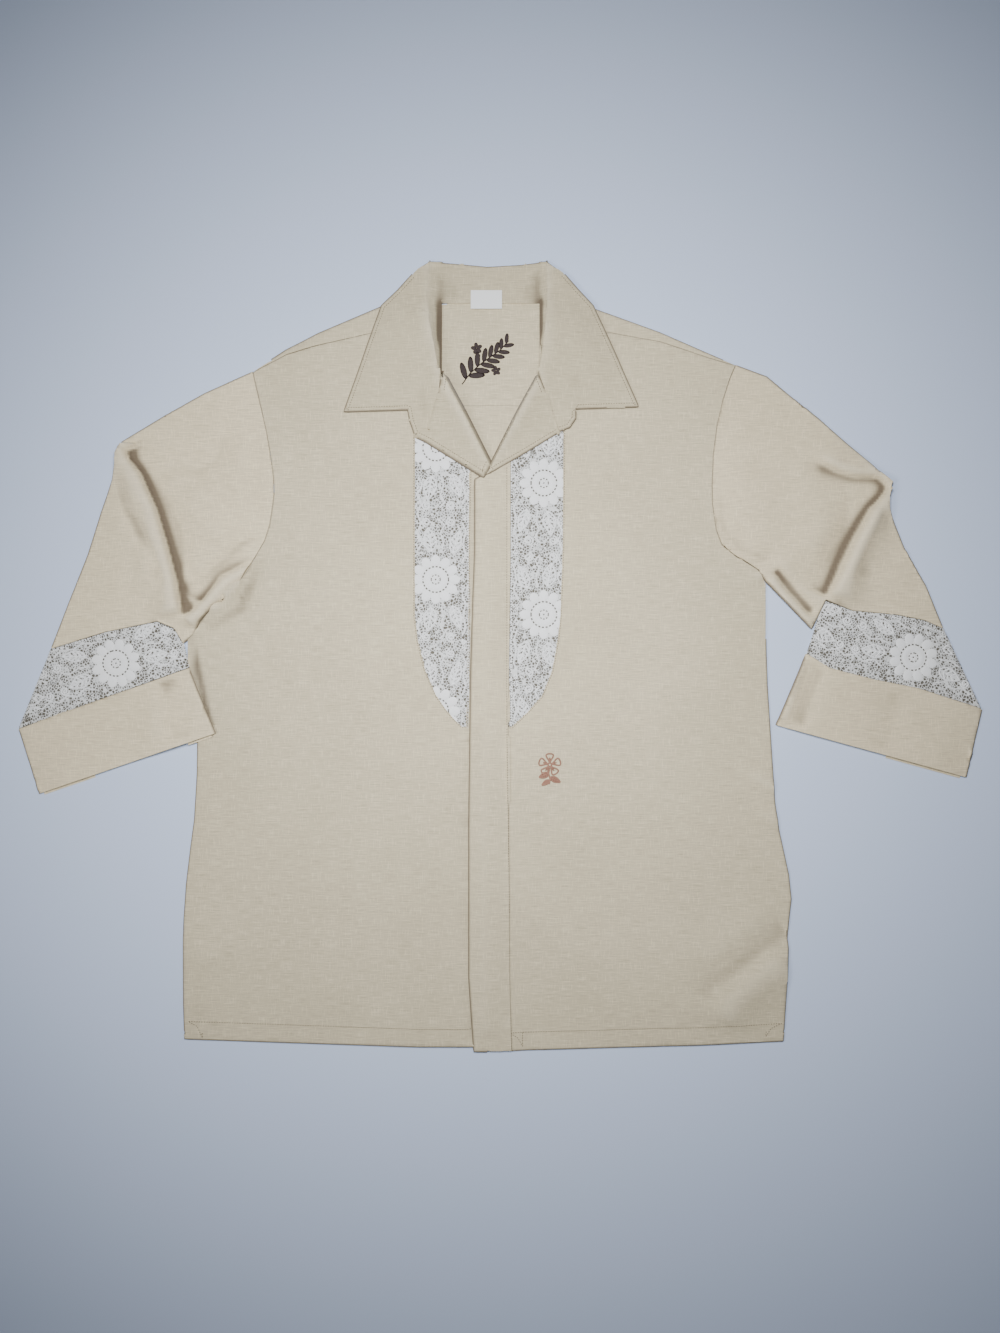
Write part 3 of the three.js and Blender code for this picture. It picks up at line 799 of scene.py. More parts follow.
# plain weave with thick slubs along the weft; turn lays the weft at an angle; a tint above one paints a copy
# lighter as painted light, below one darker as painted shade
def paintLinen(name, turn=0.0, paintedLightTint=(1, 1, 1)):
    paint = Paint(name)
    along = paint.place(turn)
    slubScale = (1 / linenLook["slubLong"], 1 / linenLook["slubTall"], 1)
    weft = paint.noise(paint.place(turn, slubScale), 1.0, 3, 0.6)
    warp = paint.noise(paint.place(turn, (slubScale[1] * 0.8, slubScale[0] * 1.3, 1)), 1.0, 2, 0.5)
    cloudy = paint.noise(along, 9.0, 3, 0.5)
    streakScale = (1 / linenLook["streakLong"], 1 / linenLook["streakTall"], 1)
    streak = paint.noise(paint.place(turn, streakScale), 1.0, 2, 0.5)
    slub = paint.spread(weft, 0.50, 0.72)
    thin = paint.spread(weft, 0.46, 0.30)
    warpSlub = paint.spread(warp, 0.52, 0.74)
    x, y = paint.axes(along)
    rate = 2 * math.pi / linenLook["thread"]
    weave = (x * rate).sine() * (y * rate).sine()
    shade = 0.45 + slub * 0.42 + warpSlub * 0.34 - thin * 0.36 + weave * 0.08
    shade = shade + (cloudy - 0.5) * 0.3 + (streak - 0.5) * 0.22
    light = tuple(a * b for a, b in zip(linenLook["light"], paintedLightTint))
    dark = tuple(a * b for a, b in zip(linenLook["dark"], paintedLightTint))
    cloth = paint.blend(paint.spread(shade, 0.0, 1.0), dark, light)
    # painted shade and painted highlight: the cloth darkens towards a dark brown in hollows, along rolled and
    # sunk rims and in painted shadows, and lightens on crests
    hollow = paint.out(paint.node("Attribute", {"attribute_name": "hollow"}), "Fac")
    shadow = paint.spread(hollow, 0.08, 1.0) * linenLook["hollowShade"]
    cloth = paint.blend(shadow, cloth, linenLook["hollow"])
    cloth = paint.blend(paint.spread(hollow, -0.1, -1.0) * 0.4, cloth, linenLook["paintedHighlight"])
    paint.feed("Base Color", cloth)
    paint.feed("Roughness", paint.spread(slub, 0, 1, 0.86, 0.74))
    paint.feed("Sheen Weight", 0.12)
    paint.feed("Sheen Roughness", 0.5)
    paint.bump(slub * 0.6 + warpSlub * 0.3 + weave * 0.25, 0.5, 0.25 * mm)
    return paint.material


linenBody = paintLinen("linenBody")
# the sleeves are the same linen painted lighter, as painted light, and the collar the same linen painted
# darker, as painted shade
linenSleeveLeftPaintedLighter = paintLinen("linenSleeveLeftPaintedLighter", math.radians(20), (1.2, 1.18, 1.17))
linenSleeveRightPaintedLighter = paintLinen("linenSleeveRightPaintedLighter", math.radians(-16), (1.16, 1.14, 1.13))
linenCollarPaintedDarker = paintLinen("linenCollarPaintedDarker", math.radians(4), (0.90, 0.90, 0.89))
print("linen painted")


laceLook = {
    "repeat": 135,  # mm from one daisy to the next
    "net": 2.7,  # mm between the holes of the ground
    "hole": 0.14,  # how far from its threads a hole starts, in cells
    "petals": 12,
    "petalFrom": 19.5, "petalReach": 5.5,
    "outerRing": 13.2, "innerRing": 4.6, "eye": 0.8,  # radii of the rows of holes in a daisy
    "white": (0.97, 0.985, 0.99),
    # thread colour at its darkest, reached by painted shade around the holes and by the random fine tone
    "shaded": (0.36, 0.37, 0.37),
    # painted shade that fills the holes, standing for the shaded net behind them
    "paintedHoleShade": (0.17, 0.155, 0.125),  # the shaded net behind the holes
}
# where each lace panel's pattern starts; u runs across the panel, v along it
lacePlaces = {
    "lace_front_left": {"centre": (-66, 79), "turn": 0, "mirror": 1, "band": False},
    "lace_front_right": {"centre": (45, 43), "turn": 0, "mirror": -1, "band": False},
    "lace_sleeve_left": {"centre": (-394, -7), "turn": 19.4, "mirror": 1, "band": True},
    "lace_sleeve_right": {"centre": (424, -1), "turn": -17.5, "mirror": 1, "band": True},
}


# openwork painted on the cloth: a ground of small uneven holes, half see-through and filled with painted
# shade, and dense daisies
def paintLace(name, spotOn):
    paint = Paint(name)
    turn = -math.radians(spotOn["turn"])
    cx, cy = spotOn["centre"]
    shift = (-(cx * math.cos(turn) - cy * math.sin(turn)), -(cx * math.sin(turn) + cy * math.cos(turn)), 0)
    x, y = paint.axes(paint.place(turn, (1 / mm,) * 3, shift))
    u, v = (y, x) if spotOn["band"] else (x * spotOn["mirror"], y)
    flat = paint.out(paint.node("CombineXYZ", X=x, Y=y, Z=0.0))
    away = v.wrapped(laceLook["repeat"])
    radius = (u * u + away * away).root()
    turnAt = away.angleTo(u)
    half = laceLook["petals"] / 2
    lobe = abs((turnAt * half).cosine())
    daisy = radius.below(laceLook["petalFrom"] + laceLook["petalReach"] * (lobe ** 0.7))
    slits = lobe.below(0.13) * radius.above(laceLook["petalFrom"])
    outerRing = abs(radius - laceLook["outerRing"]).below(0.75) * (turnAt * 22).sine().above(-0.25)
    innerRing = abs(radius - laceLook["innerRing"]).below(0.6) * (turnAt * 9).sine().above(-0.2)
    eye = radius.below(laceLook["eye"])
    warp = paint.node("TexNoise", Vector=flat, Scale=0.16, Detail=1.0)
    pushed = paint.node("VectorMath", {"operation": "ADD"}, _0=flat, _1=paint.out(warp, "Color"))
    cells = {"feature": "DISTANCE_TO_EDGE"}
    size = 1 / laceLook["net"]
    netNode = paint.node("TexVoronoi", cells, Vector=paint.out(pushed), Scale=size, Randomness=1.0)
    toThread = paint.out(netNode, "Distance")
    openness = paint.noise(flat, 0.11, 3, 0.6)
    ground = toThread.above(laceLook["hole"] + (0.52 - openness) * 0.7)
    holes = (ground * (1 - daisy)).most(slits * daisy).most(outerRing).most(innerRing).most(eye)
    fine = paint.noise(flat, 2.2, 2, 0.6)
    # thread tone: a random fine tone, with a painted highlight along the threads' middles and painted shade
    # around the holes; the daisies are whiter
    rounded = paint.spread(toThread, 0.0, 0.22)
    paintedHoleRimShade = paint.spread(toThread, 0.08, 0.26) * (1 - daisy) * 0.8
    shade = 0.26 + fine * 0.4 + (1 - rounded) * 0.2 * (1 - daisy) + daisy * 0.42 - paintedHoleRimShade
    shade = shade.least(1.0).most(0.0)
    threadColour = paint.blend(shade, laceLook["shaded"], laceLook["white"])
    # painted shade fills the holes
    paint.feed("Base Color", paint.blend(holes, threadColour, laceLook["paintedHoleShade"]))
    paint.feed("Alpha", 1 - holes * 0.4)
    paint.feed("Roughness", 0.72)
    paint.feed("Sheen Weight", 0.1)
    threads = ((u * 4.2).sine() * (v * 4.2).sine()) * 0.25
    paint.bump((1 - rounded) * (1 - daisy) + threads + fine * 0.4, 0.6, 0.4 * mm)
    return paint.material


lacePaints = {node: paintLace(node + "_threads", place) for node, place in lacePlaces.items()}
cordPaint = Paint("laceCord")
cordTwist = cordPaint.noise(cordPaint.place(0, (1 / mm,) * 3), 1.6, 2, 0.6)
cordPaint.feed("Base Color", cordPaint.blend(cordTwist, (0.84, 0.86, 0.88), (0.97, 0.98, 1.0)))
cordPaint.feed("Roughness", 0.6)
cordPaint.bump(cordTwist, 0.5, 0.2 * mm)


# raised work of one lace panel, drawn in the pattern's own u and v
motifs = {
    "curls": [(-9.5, 59, 1), (15.5, 59, -1)],  # u, v and which way each winds
    "curlTurns": 1.6, "curlWide": 4.8,
    "leaves": [(-4, 29, -8, 53, 6.5), (17, 27, 25, 50, 5.5)],  # root, tip and half width
    "rosettes": [(28, 8), (29, 64), (-17, 42), (4, 67.5)],
    "trails": [[(-18, 30), (-14, 38), (-19, 48), (-15, 58), (-19, 67.5)],
               [(27, 16), (31, 26), (28, 36), (31, 50), (27, 58)],
               [(6, 28), (8, 38), (5, 48), (9, 56), (4, 61)]],
    "picotAt": 33.4, "picotPitch": 2.7,
    "cord": 0.85, "cordFlat": 0.7,
    "bead": (1.9, 1.7, 0.9), "beadRing": 1.9,
    "petal": (11.5, 9.2, 0.9), "petalsAt": 19.4,
    "knot": (4.2, 3.0, 0.8), "knotsAt": 2.1,
    "hoop": (8.6, 2.6), "hoopFlat": 0.14,
}
sixth = math.pi / 3


def curl(u, v, way):
    points = []
    steps = 22
    for step in range(steps + 1):
        part = step / steps
        angle = way * (part * motifs["curlTurns"] * 2 * math.pi + 0.8)
        reach = motifs["curlWide"] * (0.18 + 0.82 * part)
        points.append(around((u, v), reach, angle))
    return points


def leafLines(u0, v0, u1, v1, wide):
    along = Vector((u1 - u0, v1 - v0))
    across = Vector((-along.y, along.x)).normalized() * wide
    root = Vector((u0, v0))
    sides = []
    for way in (1, -1):
        sides.append([tuple(root + along * t + across * way * math.sin(math.pi * t**0.8)) for t in
                      (0, 0.12, 0.25, 0.4, 0.55, 0.7, 0.85, 1)])
    ribs = [[tuple(root), tuple(root + along * 0.9)]]
    for t in (0.2, 0.38, 0.56):
        for way in (1, -1):
            start = root + along * t
            reach = math.sin(math.pi * (t + 0.18) ** 0.8)
            ribs.append([tuple(start), tuple(start + along * 0.18 + across * way * reach * 0.85)])
    return sides + ribs


def repeatWork():
    lines = []
    for u, v, way in motifs["curls"]:
        lines.append(curl(u, v, way))
    for leaf in motifs["leaves"]:
        lines += leafLines(*leaf)
    lines += motifs["trails"]
    half = laceLook["repeat"] / 2
    mirrored = [[(u, 2 * half - v) for u, v in line] for line in lines]
    beads = [(u, v) for u, v in motifs["rosettes"]] + [(u, 2 * half - v) for u, v in motifs["rosettes"]]
    return lines + mirrored, beads


def raiseLace(node, sheet, repeats):
    place = lacePlaces[node]
    turn = math.radians(place["turn"])

    def toShirt(u, v):
        x, y = (v, u) if place["band"] else (u * place["mirror"], v)
        return (
            place["centre"][0] + x * math.cos(turn) - y * math.sin(turn),
            place["centre"][1] + x * math.sin(turn) + y * math.cos(turn),
        )

    def isOn(x, y, reach=1.0):
        if topOf([sheet], x * mm, y * mm) is not None:
            return True
        near = sheet.closest_point_on_mesh((x * mm, y * mm, 0.004))[1]
        return math.hypot(near.x - x * mm, near.y - y * mm) < reach * mm

    lines, beads = repeatWork()
    kept, dots = [], []
    for number in repeats:
        up = number * laceLook["repeat"]
        for line in lines:
            run = []
            for u, v in line:
                point = toShirt(u, v + up)
                if isOn(*point):
                    run.append(point)
                    continue
                if len(run) > 1:
                    kept.append(run)
                run = []
            if len(run) > 1:
                kept.append(run)
        for u, v in beads:
            for step in range(6):
                dots.append(toShirt(*around((u, v + up), motifs["beadRing"], step * sixth)))
        for step in range(round(laceLook["repeat"] / motifs["picotPitch"])):
            dots.append(toShirt(motifs["picotAt"], up + step * motifs["picotPitch"]))
    parts = [cordsAlong("cords", kept, motifs["cord"], motifs["cordFlat"])]
    bead = domeTemplate("bead", motifs["bead"], 6, 3)
    parts += [copyAt(bead, point) for point in dots if isOn(*point, 0)]
    putAway(bead)
    petal = domeTemplate("petal", motifs["petal"], 14, 6)
    knot = domeTemplate("knot", motifs["knot"], 10, 4)
    wide, thick = motifs["hoop"]
    bpy.ops.mesh.primitive_torus_add(major_segments=36, minor_segments=6, major_radius=wide * mm,
                                     minor_radius=thick * mm)
    hoop = bpy.context.object
    for number in repeats:
        heart = (0, number * laceLook["repeat"])
        centre = toShirt(*heart)
        for step in range(laceLook["petals"]):
            point = toShirt(*around(heart, motifs["petalsAt"], step * 2 * math.pi / laceLook["petals"]))
            parts.append(copyAt(petal, point, math.atan2(point[1] - centre[1], point[0] - centre[0])))
        for step in range(6):
            point = around(centre, motifs["knotsAt"], step * sixth)
            parts.append(copyAt(knot, point, step * sixth, (0.6, 0.6, 1)))
        parts.append(copyAt(hoop, centre, 0, (1, 1, motifs["hoopFlat"])))
    for template in (petal, knot, hoop):
        putAway(template)
    work = joinAll(parts, node + "_raised")
    keepFaces(work, lambda face: isOn(face.center.x / mm, face.center.y / mm))
    selectIn(work, "VERT", lambda vertex: False)
    bpy.ops.mesh.select_loose()
    bpy.ops.mesh.delete(type="VERT")
    objectMode()
    layOn(work, [sheet], 0.05)
    pick(work)
    bpy.ops.object.shade_smooth_by_angle(angle=math.radians(60))
    return work


# ---- the back and yoke ----
backPanel = {"node": "back", "cell": 20, "soften": 1, "faces": lambda face: face.normal.z > 0.5}
back = clothOn(backPanel)
giveWall(back)
finishPiece(back, linenBody, ["back"])

yokePanel = {"node": "yoke", "cell": 9, "soften": 0, "faces": lambda face: face.normal.z < -0.5}
yoke = flatNet("yoke", "yoke_inside", yokePanel["cell"], yokePanel["faces"])
for vertex in yoke.data.vertices:
    vertex.co.z = 1.2 * mm
tuckEdge(yoke, nearLine([(-62, 363), (44, 365)], 5), 4 * mm, 0)
giveWall(yoke)
finishPiece(yoke, linenBody, ["yoke"])
yokeWrap = {
    "node": "yoke", "cell": 4, "soften": 8,
    "faces": lambda face: face.normal.z > 0.3 and face.center.z > 2.2 * mm,
}
wrap = clothOn(yokeWrap, "yoke_wrap")
besideFront = touches(["front_left", "front_right", "sleeve_left", "sleeve_right"], 2 * mm)
foldEdgeDown(wrap, lambda place: not besideFront(place), lambda place: 0.1 * mm)
giveWall(wrap)
finishPiece(wrap, linenBody, ["yoke"])
print("back and yoke laid")

# ---- the fronts ----
frontLow = 1.65 * mm  # the fronts never sink into the back
frontLeftPanel = {
    "node": "front_left", "cell": 4.2, "soften": 40, "wander": 1.1, "wanderScale": 85,
    "cuts": [((x0 + out, y0), (x1 + out, y1)) for out in (0, -2, -4) for (x0, y0), (x1, y1) in
             (((-26, 176), (-27, 105)), ((-27, 105), (-32.5, -168)), ((-32.5, -168), (-29, -400)))],
    "folds": [
        fold([(-26, 176), (-27, 105), (-29, 54), (-31, -18), (-32.5, -168), (-32.5, -329), (-29, -400)],
             -2.4, 7, 2.0, 2, 2),
        fold([(-266, 95), (-276, 72), (-302, 50)], 6.0, 8, 9, 20, 4),
        fold([(-256, 108), (-258, 76), (-268, 50), (-290, 37), (-309, 30)], -4.4, 9, 4, fadeOut=4),
        fold([(-282, 58), (-289, 59), (-297, 54)], -7.0, 4, 5, 2, 4),
        fold([(-232, 112), (-240, 60), (-262, 20)], 1.6, 16, 9, fadeOut=30),
        fold([(-319, -289), (-285, -325)], 1.4, 10, 10),
        fold([(-313, -40), (-308, -130)], 1.0, 8, 8),
    ],
}
frontLeft = clothOn(frontLeftPanel)
for vertex in frontLeft.data.vertices:
    vertex.co.z = max(vertex.co.z, frontLow)
frontRightPanel = {
    "node": "front_right", "cell": 4.5, "soften": 40, "wander": 0.9, "wanderScale": 85,
    "folds": [
        fold([(297, -280), (261, -303), (234, -324), (214, -338), (203, -362)], -3.0, 13, 18, fadeIn=4),
        fold([(296, -306), (264, -330), (240, -354), (228, -384)], 4.2, 22, 14),
        fold([(282, -262), (240, -290), (206, -312)], 1.8, 20, 12),
        fold([(248, -116), (286, -135)], 3.0, 5, 8, fadeOut=4),
        fold([(258, -155), (292, -171)], 2.6, 5, 8, fadeOut=4),
        fold([(270, 66), (258, 30)], 1.2, 8, 8),
        fold([(257, 78), (266, 82), (282, 92)], 3.6, 6, 3.5, 6, 3),
    ],
}
frontRight = clothOn(frontRightPanel)
placketPanel = {
    "node": "placket", "cell": 3.5, "soften": 30, "wander": 0.35, "wanderScale": 60, "wall": 1.8 * mm,
    "cuts": [((7, 193), (7, -72)), ((7, -72), (11.5, -400))],
    "seam": [(7, 193), (7, -72), (11.5, -400)],
    "folds": [fold([(-14, 176), (-14, 40), (-16, -120), (-16, -400)], 3.0, 16, 9),
              fold([(7, 193), (7, -72), (11.5, -400)], -0.9, 2.2, 2.2)],
}
placket = clothOn(placketPanel)
restOn(placket, [frontLeft, frontRight], placketPanel["wall"])
roundEdge(placket, lambda place: place.x < -0.0125, 3.6 * mm, 1.7 * mm)
fronts = [frontLeft, frontRight]
tuckEdge(frontLeft, nearLine([(-272, 74), (-312, 26), (-312.5, -40)], 6), 10 * mm, 0.5 * mm)
lacePanels = {
    "lace_front_left": {"node": "lace_front_left", "cell": 3.5, "soften": 20},
    "lace_front_right": {"node": "lace_front_right", "cell": 3.5, "soften": 20},
}
frontLace = []
for look in lacePanels.values():
    piece = clothOn(look)
    for vertex in piece.data.vertices:
        vertex.co.z -= 0.5 * mm
    frontLace.append(piece)
onBody = fronts + frontLace + [placket]

# ---- lapels and collar, laid on the fronts ----
lapelPanels = {
    "lapel_left": {"node": "lapel_left", "cell": 3, "soften": 5,
                   "roll": [(-57.5, 286), (-38, 250), (-10, 197)], "corner": [(-62, 293), (-58, 288)],
                   "folds": [fold([(-57.5, 286), (-38, 250), (-12, 200)], 1.6, 8, 8)]},
    "lapel_right": {"node": "lapel_right", "cell": 3, "soften": 5,
                    "roll": [(38.5, 286), (18.5, 250), (-9.5, 197)], "corner": [(43, 293), (39, 288)],
                    "folds": [fold([(38.5, 286), (18.5, 250), (-8, 200)], 1.8, 8, 8)]},
}
collarWall = 1.7 * mm
topInset = 3.2  # mm from the collar's and lapels' edges to their stitches
seamStitches = []  # name, lines, pieces that they lie on
besideCollar = touches(["collar"], 2.0 * mm)
lapels = []
for node, look in lapelPanels.items():
    piece = clothOn(look)
    restOn(piece, onBody, collarWall)
    smoothHeights(piece, 3)
    onRoll = nearLine(look["roll"], 2.0)

    def isFree(place):
        return not onRoll(place) and not besideCollar(place)

    seamStitches.append((node + "_stitches", linesBeside(piece, isFree, topInset), [piece]))
    roundEdge(piece, isFree, 2.2 * mm, 1.1 * mm)
    foldEdgeDown(piece, onRoll, lambda place: 1.7 * mm, 2.2 * mm)
    tuckEdge(piece, besideCollar)
    tuckEdge(piece, nearLine(look["corner"], 4), 3 * mm, 0.6 * mm)
    lapels.append(piece)
collarPanel = {
    "node": "collar", "cell": 2.8, "soften": 5,
    "folds": [
        fold([(-47, 400), (-46, 352)], -1.0, 5, 5),
        fold([(5, 400), (6, 380), (4, 366)], -0.9, 5, 7),
        fold([(26, 398), (27, 352)], -0.9, 4, 5),
        fold([(-98, 372), (-118, 318), (-130, 268)], 1.2, 16, 9),
        fold([(70, 368), (90, 318), (108, 268)], 1.2, 9, 16),
        fold([(-88, 350), (-96, 296), (-99, 258)], -0.5, 9, 9),
        fold([(62, 340), (74, 296), (84, 258)], -0.5, 9, 9),
    ],
}
collarLift = {"high": 1.8, "from": 330, "over": 70, "beside": 66, "fade": 16}
collar = clothOn(collarPanel)
for vertex in collar.data.vertices:
    under = topOf(onBody + [wrap], vertex.co.x, vertex.co.y)
    if under is not None and under > 1.5 * mm:
        vertex.co.z = max(vertex.co.z, under + collarWall + layerGap)
smoothHeights(collar, 3)
for vertex in collar.data.vertices:
    x, y = vertex.co.x / mm, vertex.co.y / mm
    lift = collarLift["high"] * min(1, max(0, (collarLift["from"] - y) / collarLift["over"]))
    vertex.co.z += lift * mm * min(1, max(0, (abs(x + 12) - collarLift["beside"]) / collarLift["fade"]))
onGorge = touches(["lapel_left", "lapel_right"], 2.0 * mm)


# rims of the collar, in mm: its middle, the neck side, its corner at the lapels, and the fold at the back
collarRims = {"middle": -12, "neckHalf": 64, "neckFrom": 262, "cornerTo": 293.5, "backFrom": 390,
              "foldFrom": 397, "foldHalf": 70}


def fromMiddle(place):
    return abs(place.x / mm - collarRims["middle"])


def isNeckSide(place):
    y = place.y / mm
    if y > collarRims["backFrom"]:
        return True
    return y > collarRims["neckFrom"] and fromMiddle(place) < collarRims["neckHalf"]


def isNeckCorner(place):
    return collarRims["neckFrom"] < place.y / mm < collarRims["cornerTo"] and isNeckSide(place)


def isBackFold(place):
    return place.y / mm > collarRims["foldFrom"] and fromMiddle(place) < collarRims["foldHalf"]


def isLeafEdge(place):
    return not isNeckSide(place) and not onGorge(place)


leafLine = linesBeside(collar, isLeafEdge, topInset)
seamStitches.append(("collar_stitches", leafLine, [collar]))
foldEdgeDown(collar, isBackFold, lambda place: 0.1 * mm)
tuckEdge(collar, isNeckCorner, 2.2 * mm, 0.8 * mm)
sinkSeam(collar, onGorge, 0.9 * mm, 1.5 * mm)
roundEdge(collar, isLeafEdge, 2.4 * mm, 1.2 * mm)

inWedge = nearLine([(-272, 74), (-316, 22), (-320, -40)], 14)
frontRims = {"hem": -387, "side": 262, "sideTop": 20}  # where the hem and the side edges begin


def onHem(place):
    return place.y < frontRims["hem"] * mm


def onSide(place):
    isBeside = abs(place.x) > frontRims["side"] * mm and place.y < frontRims["sideTop"] * mm
    return isBeside and not inWedge(place)


# lines of stitching beside the seams
hemInset = 18
for front, node in zip(fronts, ("left", "right")):
    lace = linesBeside(front, touches(["lace_front_" + node], 0.8 * mm), 1.3)
    hem = linesBeside(front, onHem, hemInset)
    seamStitches.append(("front_" + node + "_stitches", lace + hem, [front]))
placketLine = [[Vector((x * mm, y * mm, 0)) for x, y in placketPanel["seam"]]]
seamStitches.append(("placket_stitches", placketLine, [placket]))
for piece, node in zip(frontLace, ("left", "right")):
    tuckEdge(piece, touches(["front_" + node], 0.8 * mm), 2.5 * mm, 0.7 * mm)

besideYoke = touches(["yoke"], 0.7 * mm)
frontUnder = 1.2 * mm
besideSleeve = touches(["sleeve_left", "sleeve_right"], 0.7 * mm)
for piece, node in zip(fronts, ("left", "right")):
    besideLace = touches(["lace_front_" + node], 0.8 * mm)
    sinkSeam(piece, lambda place: besideLace(place) or besideYoke(place), 0.6 * mm, 0.7 * mm)
    sinkSeam(piece, lambda place: besideSleeve(place) and not inWedge(place), 0.5 * mm, 0.9 * mm)
    foldEdgeDown(piece, onHem, lambda place: frontUnder, 0.9 * mm)
    foldEdgeDown(piece, onSide, lambda place: frontUnder, 0.9 * mm)
sinkSeam(placket, lambda place: place.x > 0.005, 0.5 * mm, 0.8 * mm)
# painted shade in the hollows of the fronts, lapels and placket
for piece in fronts + lapels + [placket]:
    paintShadeInHollows(piece)
# painted shadow of the left cuff on the left front beside it
paintShadowBeside(frontLeft, [
    fold([(-322, 34), (-316, 12), (-297, -76)], 0.8, 5, 4, 4, 4),
    fold([(-294, -78), (-322, -87)], 0.7, 5, 4, 3, 3),
])
# painted shade in the collar's hollows, deeper there, darkening the inner sides of the stand
paintShadeInHollows(collar, 40, 2.0 * mm)
for piece in fronts:
    giveWall(piece)
giveWall(placket, placketPanel["wall"])
for piece in frontLace:
    giveWall(piece, 0.6 * mm)
for piece in lapels:
    giveWall(piece, collarWall)
giveWall(collar, collarWall)
# each front piece with its paint, or none for lace, its node, cut size, hold, what it lies on and cut area
frontPieces = [
    (frontLeft, linenBody, "front_left", (0.33, 0.75), "laid", (back,), 0.193),
    (frontRight, linenBody, "front_right", (0.31, 0.755), "laid", (back,), 0.174),
    (placket, linenBody, "placket", (0.04, 0.605), "laid", (frontLeft,), 0.0232),
    (frontLace[0], None, "lace_front_left", (0.056, 0.308), "laid", (back,), 0.014),
    (frontLace[1], None, "lace_front_right", (0.058, 0.308), "laid", (back,), 0.0147),
    (lapels[0], linenCollarPaintedDarker, "lapel_left", (0.075, 0.1), "folded", (frontLeft,), 0.0045),
    (lapels[1], linenCollarPaintedDarker, "lapel_right", (0.073, 0.1), "folded", (frontRight,), 0.0044),
    (collar, linenCollarPaintedDarker, "collar", (0.5, 0.085), "folded", (frontLeft, frontRight), 0.032),
]
for piece, paint, node, flat, held, restsOn, area in frontPieces:
    slot = "linen" if paint else "lace"
    finishPiece(piece, paint or lacePaints[node], [node])
print("fronts and collar laid")

raisedFront = [
    raiseLace("lace_front_left", frontLace[0], (-1, 0, 1)),
    raiseLace("lace_front_right", frontLace[1], (-1, 0, 1, 2)),
]
for work in raisedFront:
    finishPiece(work, cordPaint.material)
print("front lace raised")

# dark brown sewing thread; its darkness also stands for the shade in the stitch grooves, as painted shade
threadAndGrooveShadePaint = Paint("sewingThreadAndGrooveShade")
threadTwist = threadAndGrooveShadePaint.noise(threadAndGrooveShadePaint.place(0, (1 / mm,) * 3), 1.2, 2, 0.6)
threadAndGrooveShadePaint.feed("Base Color", threadAndGrooveShadePaint.blend(threadTwist, (0.13, 0.10, 0.065), (0.27, 0.22, 0.15)))
threadAndGrooveShadePaint.feed("Roughness", 0.55)
for name, lines, targets in seamStitches:
    finishPiece(stitchRows(name, lines, targets), threadAndGrooveShadePaint.material)
print("stitches sewn")

# ---- label ----
labelPatch = {"node": "neck_label", "cell": 2, "soften": 0}
label = clothOn(labelPatch)
giveWall(label, 0.5 * mm)
labelPaint = Paint("labelTape")
labelX, labelY = labelPaint.axes(labelPaint.place(0, (1 / mm,) * 3))
ribs = (labelY * 9.0).sine() * (labelX * 2.2).sine()
labelTone = labelPaint.spread(ribs, -1, 1)
labelPaint.feed("Base Color", labelPaint.blend(labelTone, (0.80, 0.82, 0.84), (0.92, 0.93, 0.95)))
labelPaint.feed("Roughness", 0.5)
labelPaint.bump(ribs, 0.3, 0.1 * mm)
finishPiece(label, labelPaint.material, ["neck_label"])

# ---- printed spray inside the yoke ----
spray = {
    "centre": (-15, 305),
    "stem": [(-24, -25), (-16, -14), (-5, -4), (5, 3), (15, 10), (24, 20)],
    "leafEvery": 0.12, "leafLong": 17, "leafWide": 6.0,
    "blossoms": [(-9, 12, 9.5), (11, -11, 8.0)],
    "ink": 0.12,  # mm of height, just proud of the cloth
}


def stemPoint(part):
    stem = spray["stem"]
    place = part * (len(stem) - 1)
    step = min(int(place), len(stem) - 2)
    a, b = Vector(stem[step]), Vector(stem[step + 1])
    return a.lerp(b, place - step), (b - a).normalized()


def printSpray():
    cx, cy = spray["centre"]
    lines = [[(cx + x, cy + y) for x, y in spray["stem"]]]
    leaf = domeTemplate("printLeaf", (1, 1, 1), 14, 4)
    parts = []
    part, side = 0.1, 1
    while part < 0.98:
        place, way = stemPoint(part)
        angle = math.atan2(way.y, way.x) + side * (0.95 - 0.35 * part)
        long = spray["leafLong"] * (1.1 - 0.5 * part)
        middle = around((cx + place.x, cy + place.y), 0.5 * long, angle)
        wide = spray["leafWide"] * (1.1 - 0.4 * part)
        parts.append(copyAt(leaf, middle, angle, (long, wide, spray["ink"])))
        part += spray["leafEvery"] / 2
        side = -side
    for x, y, size in spray["blossoms"]:
        for step in range(5):
            angle = 0.5 + step * 2 * math.pi / 5
            middle = around((cx + x, cy + y), 0.34 * size, angle)
            parts.append(copyAt(leaf, middle, angle, (size * 0.62, size * 0.44, spray["ink"])))
        curve = [(cx + x, cy + y), (cx + x + 1, cy + y - 4), (cx + 0.6 * x, cy + 0.4 * y - 1)]
        lines.append(curve)
    putAway(leaf)
    parts.append(cordsAlong("stems", lines, 0.6, 0.1))
    return joinAll(parts, "neck_print")


neckPrint = printSpray()
layOn(neckPrint, [yoke], 0.02)
inkPaint = Paint("brownInk")
inkWorn = inkPaint.noise(inkPaint.place(0, (1 / mm,) * 3), 0.9, 3, 0.6)
inkTone = inkPaint.spread(inkWorn, 0.5, 0.75)
inkPaint.feed("Base Color", inkPaint.blend(inkTone, (0.018, 0.007, 0.007), (0.06, 0.033, 0.028)))
inkPaint.feed("Roughness", 0.7)
finishPiece(neckPrint, inkPaint.material)

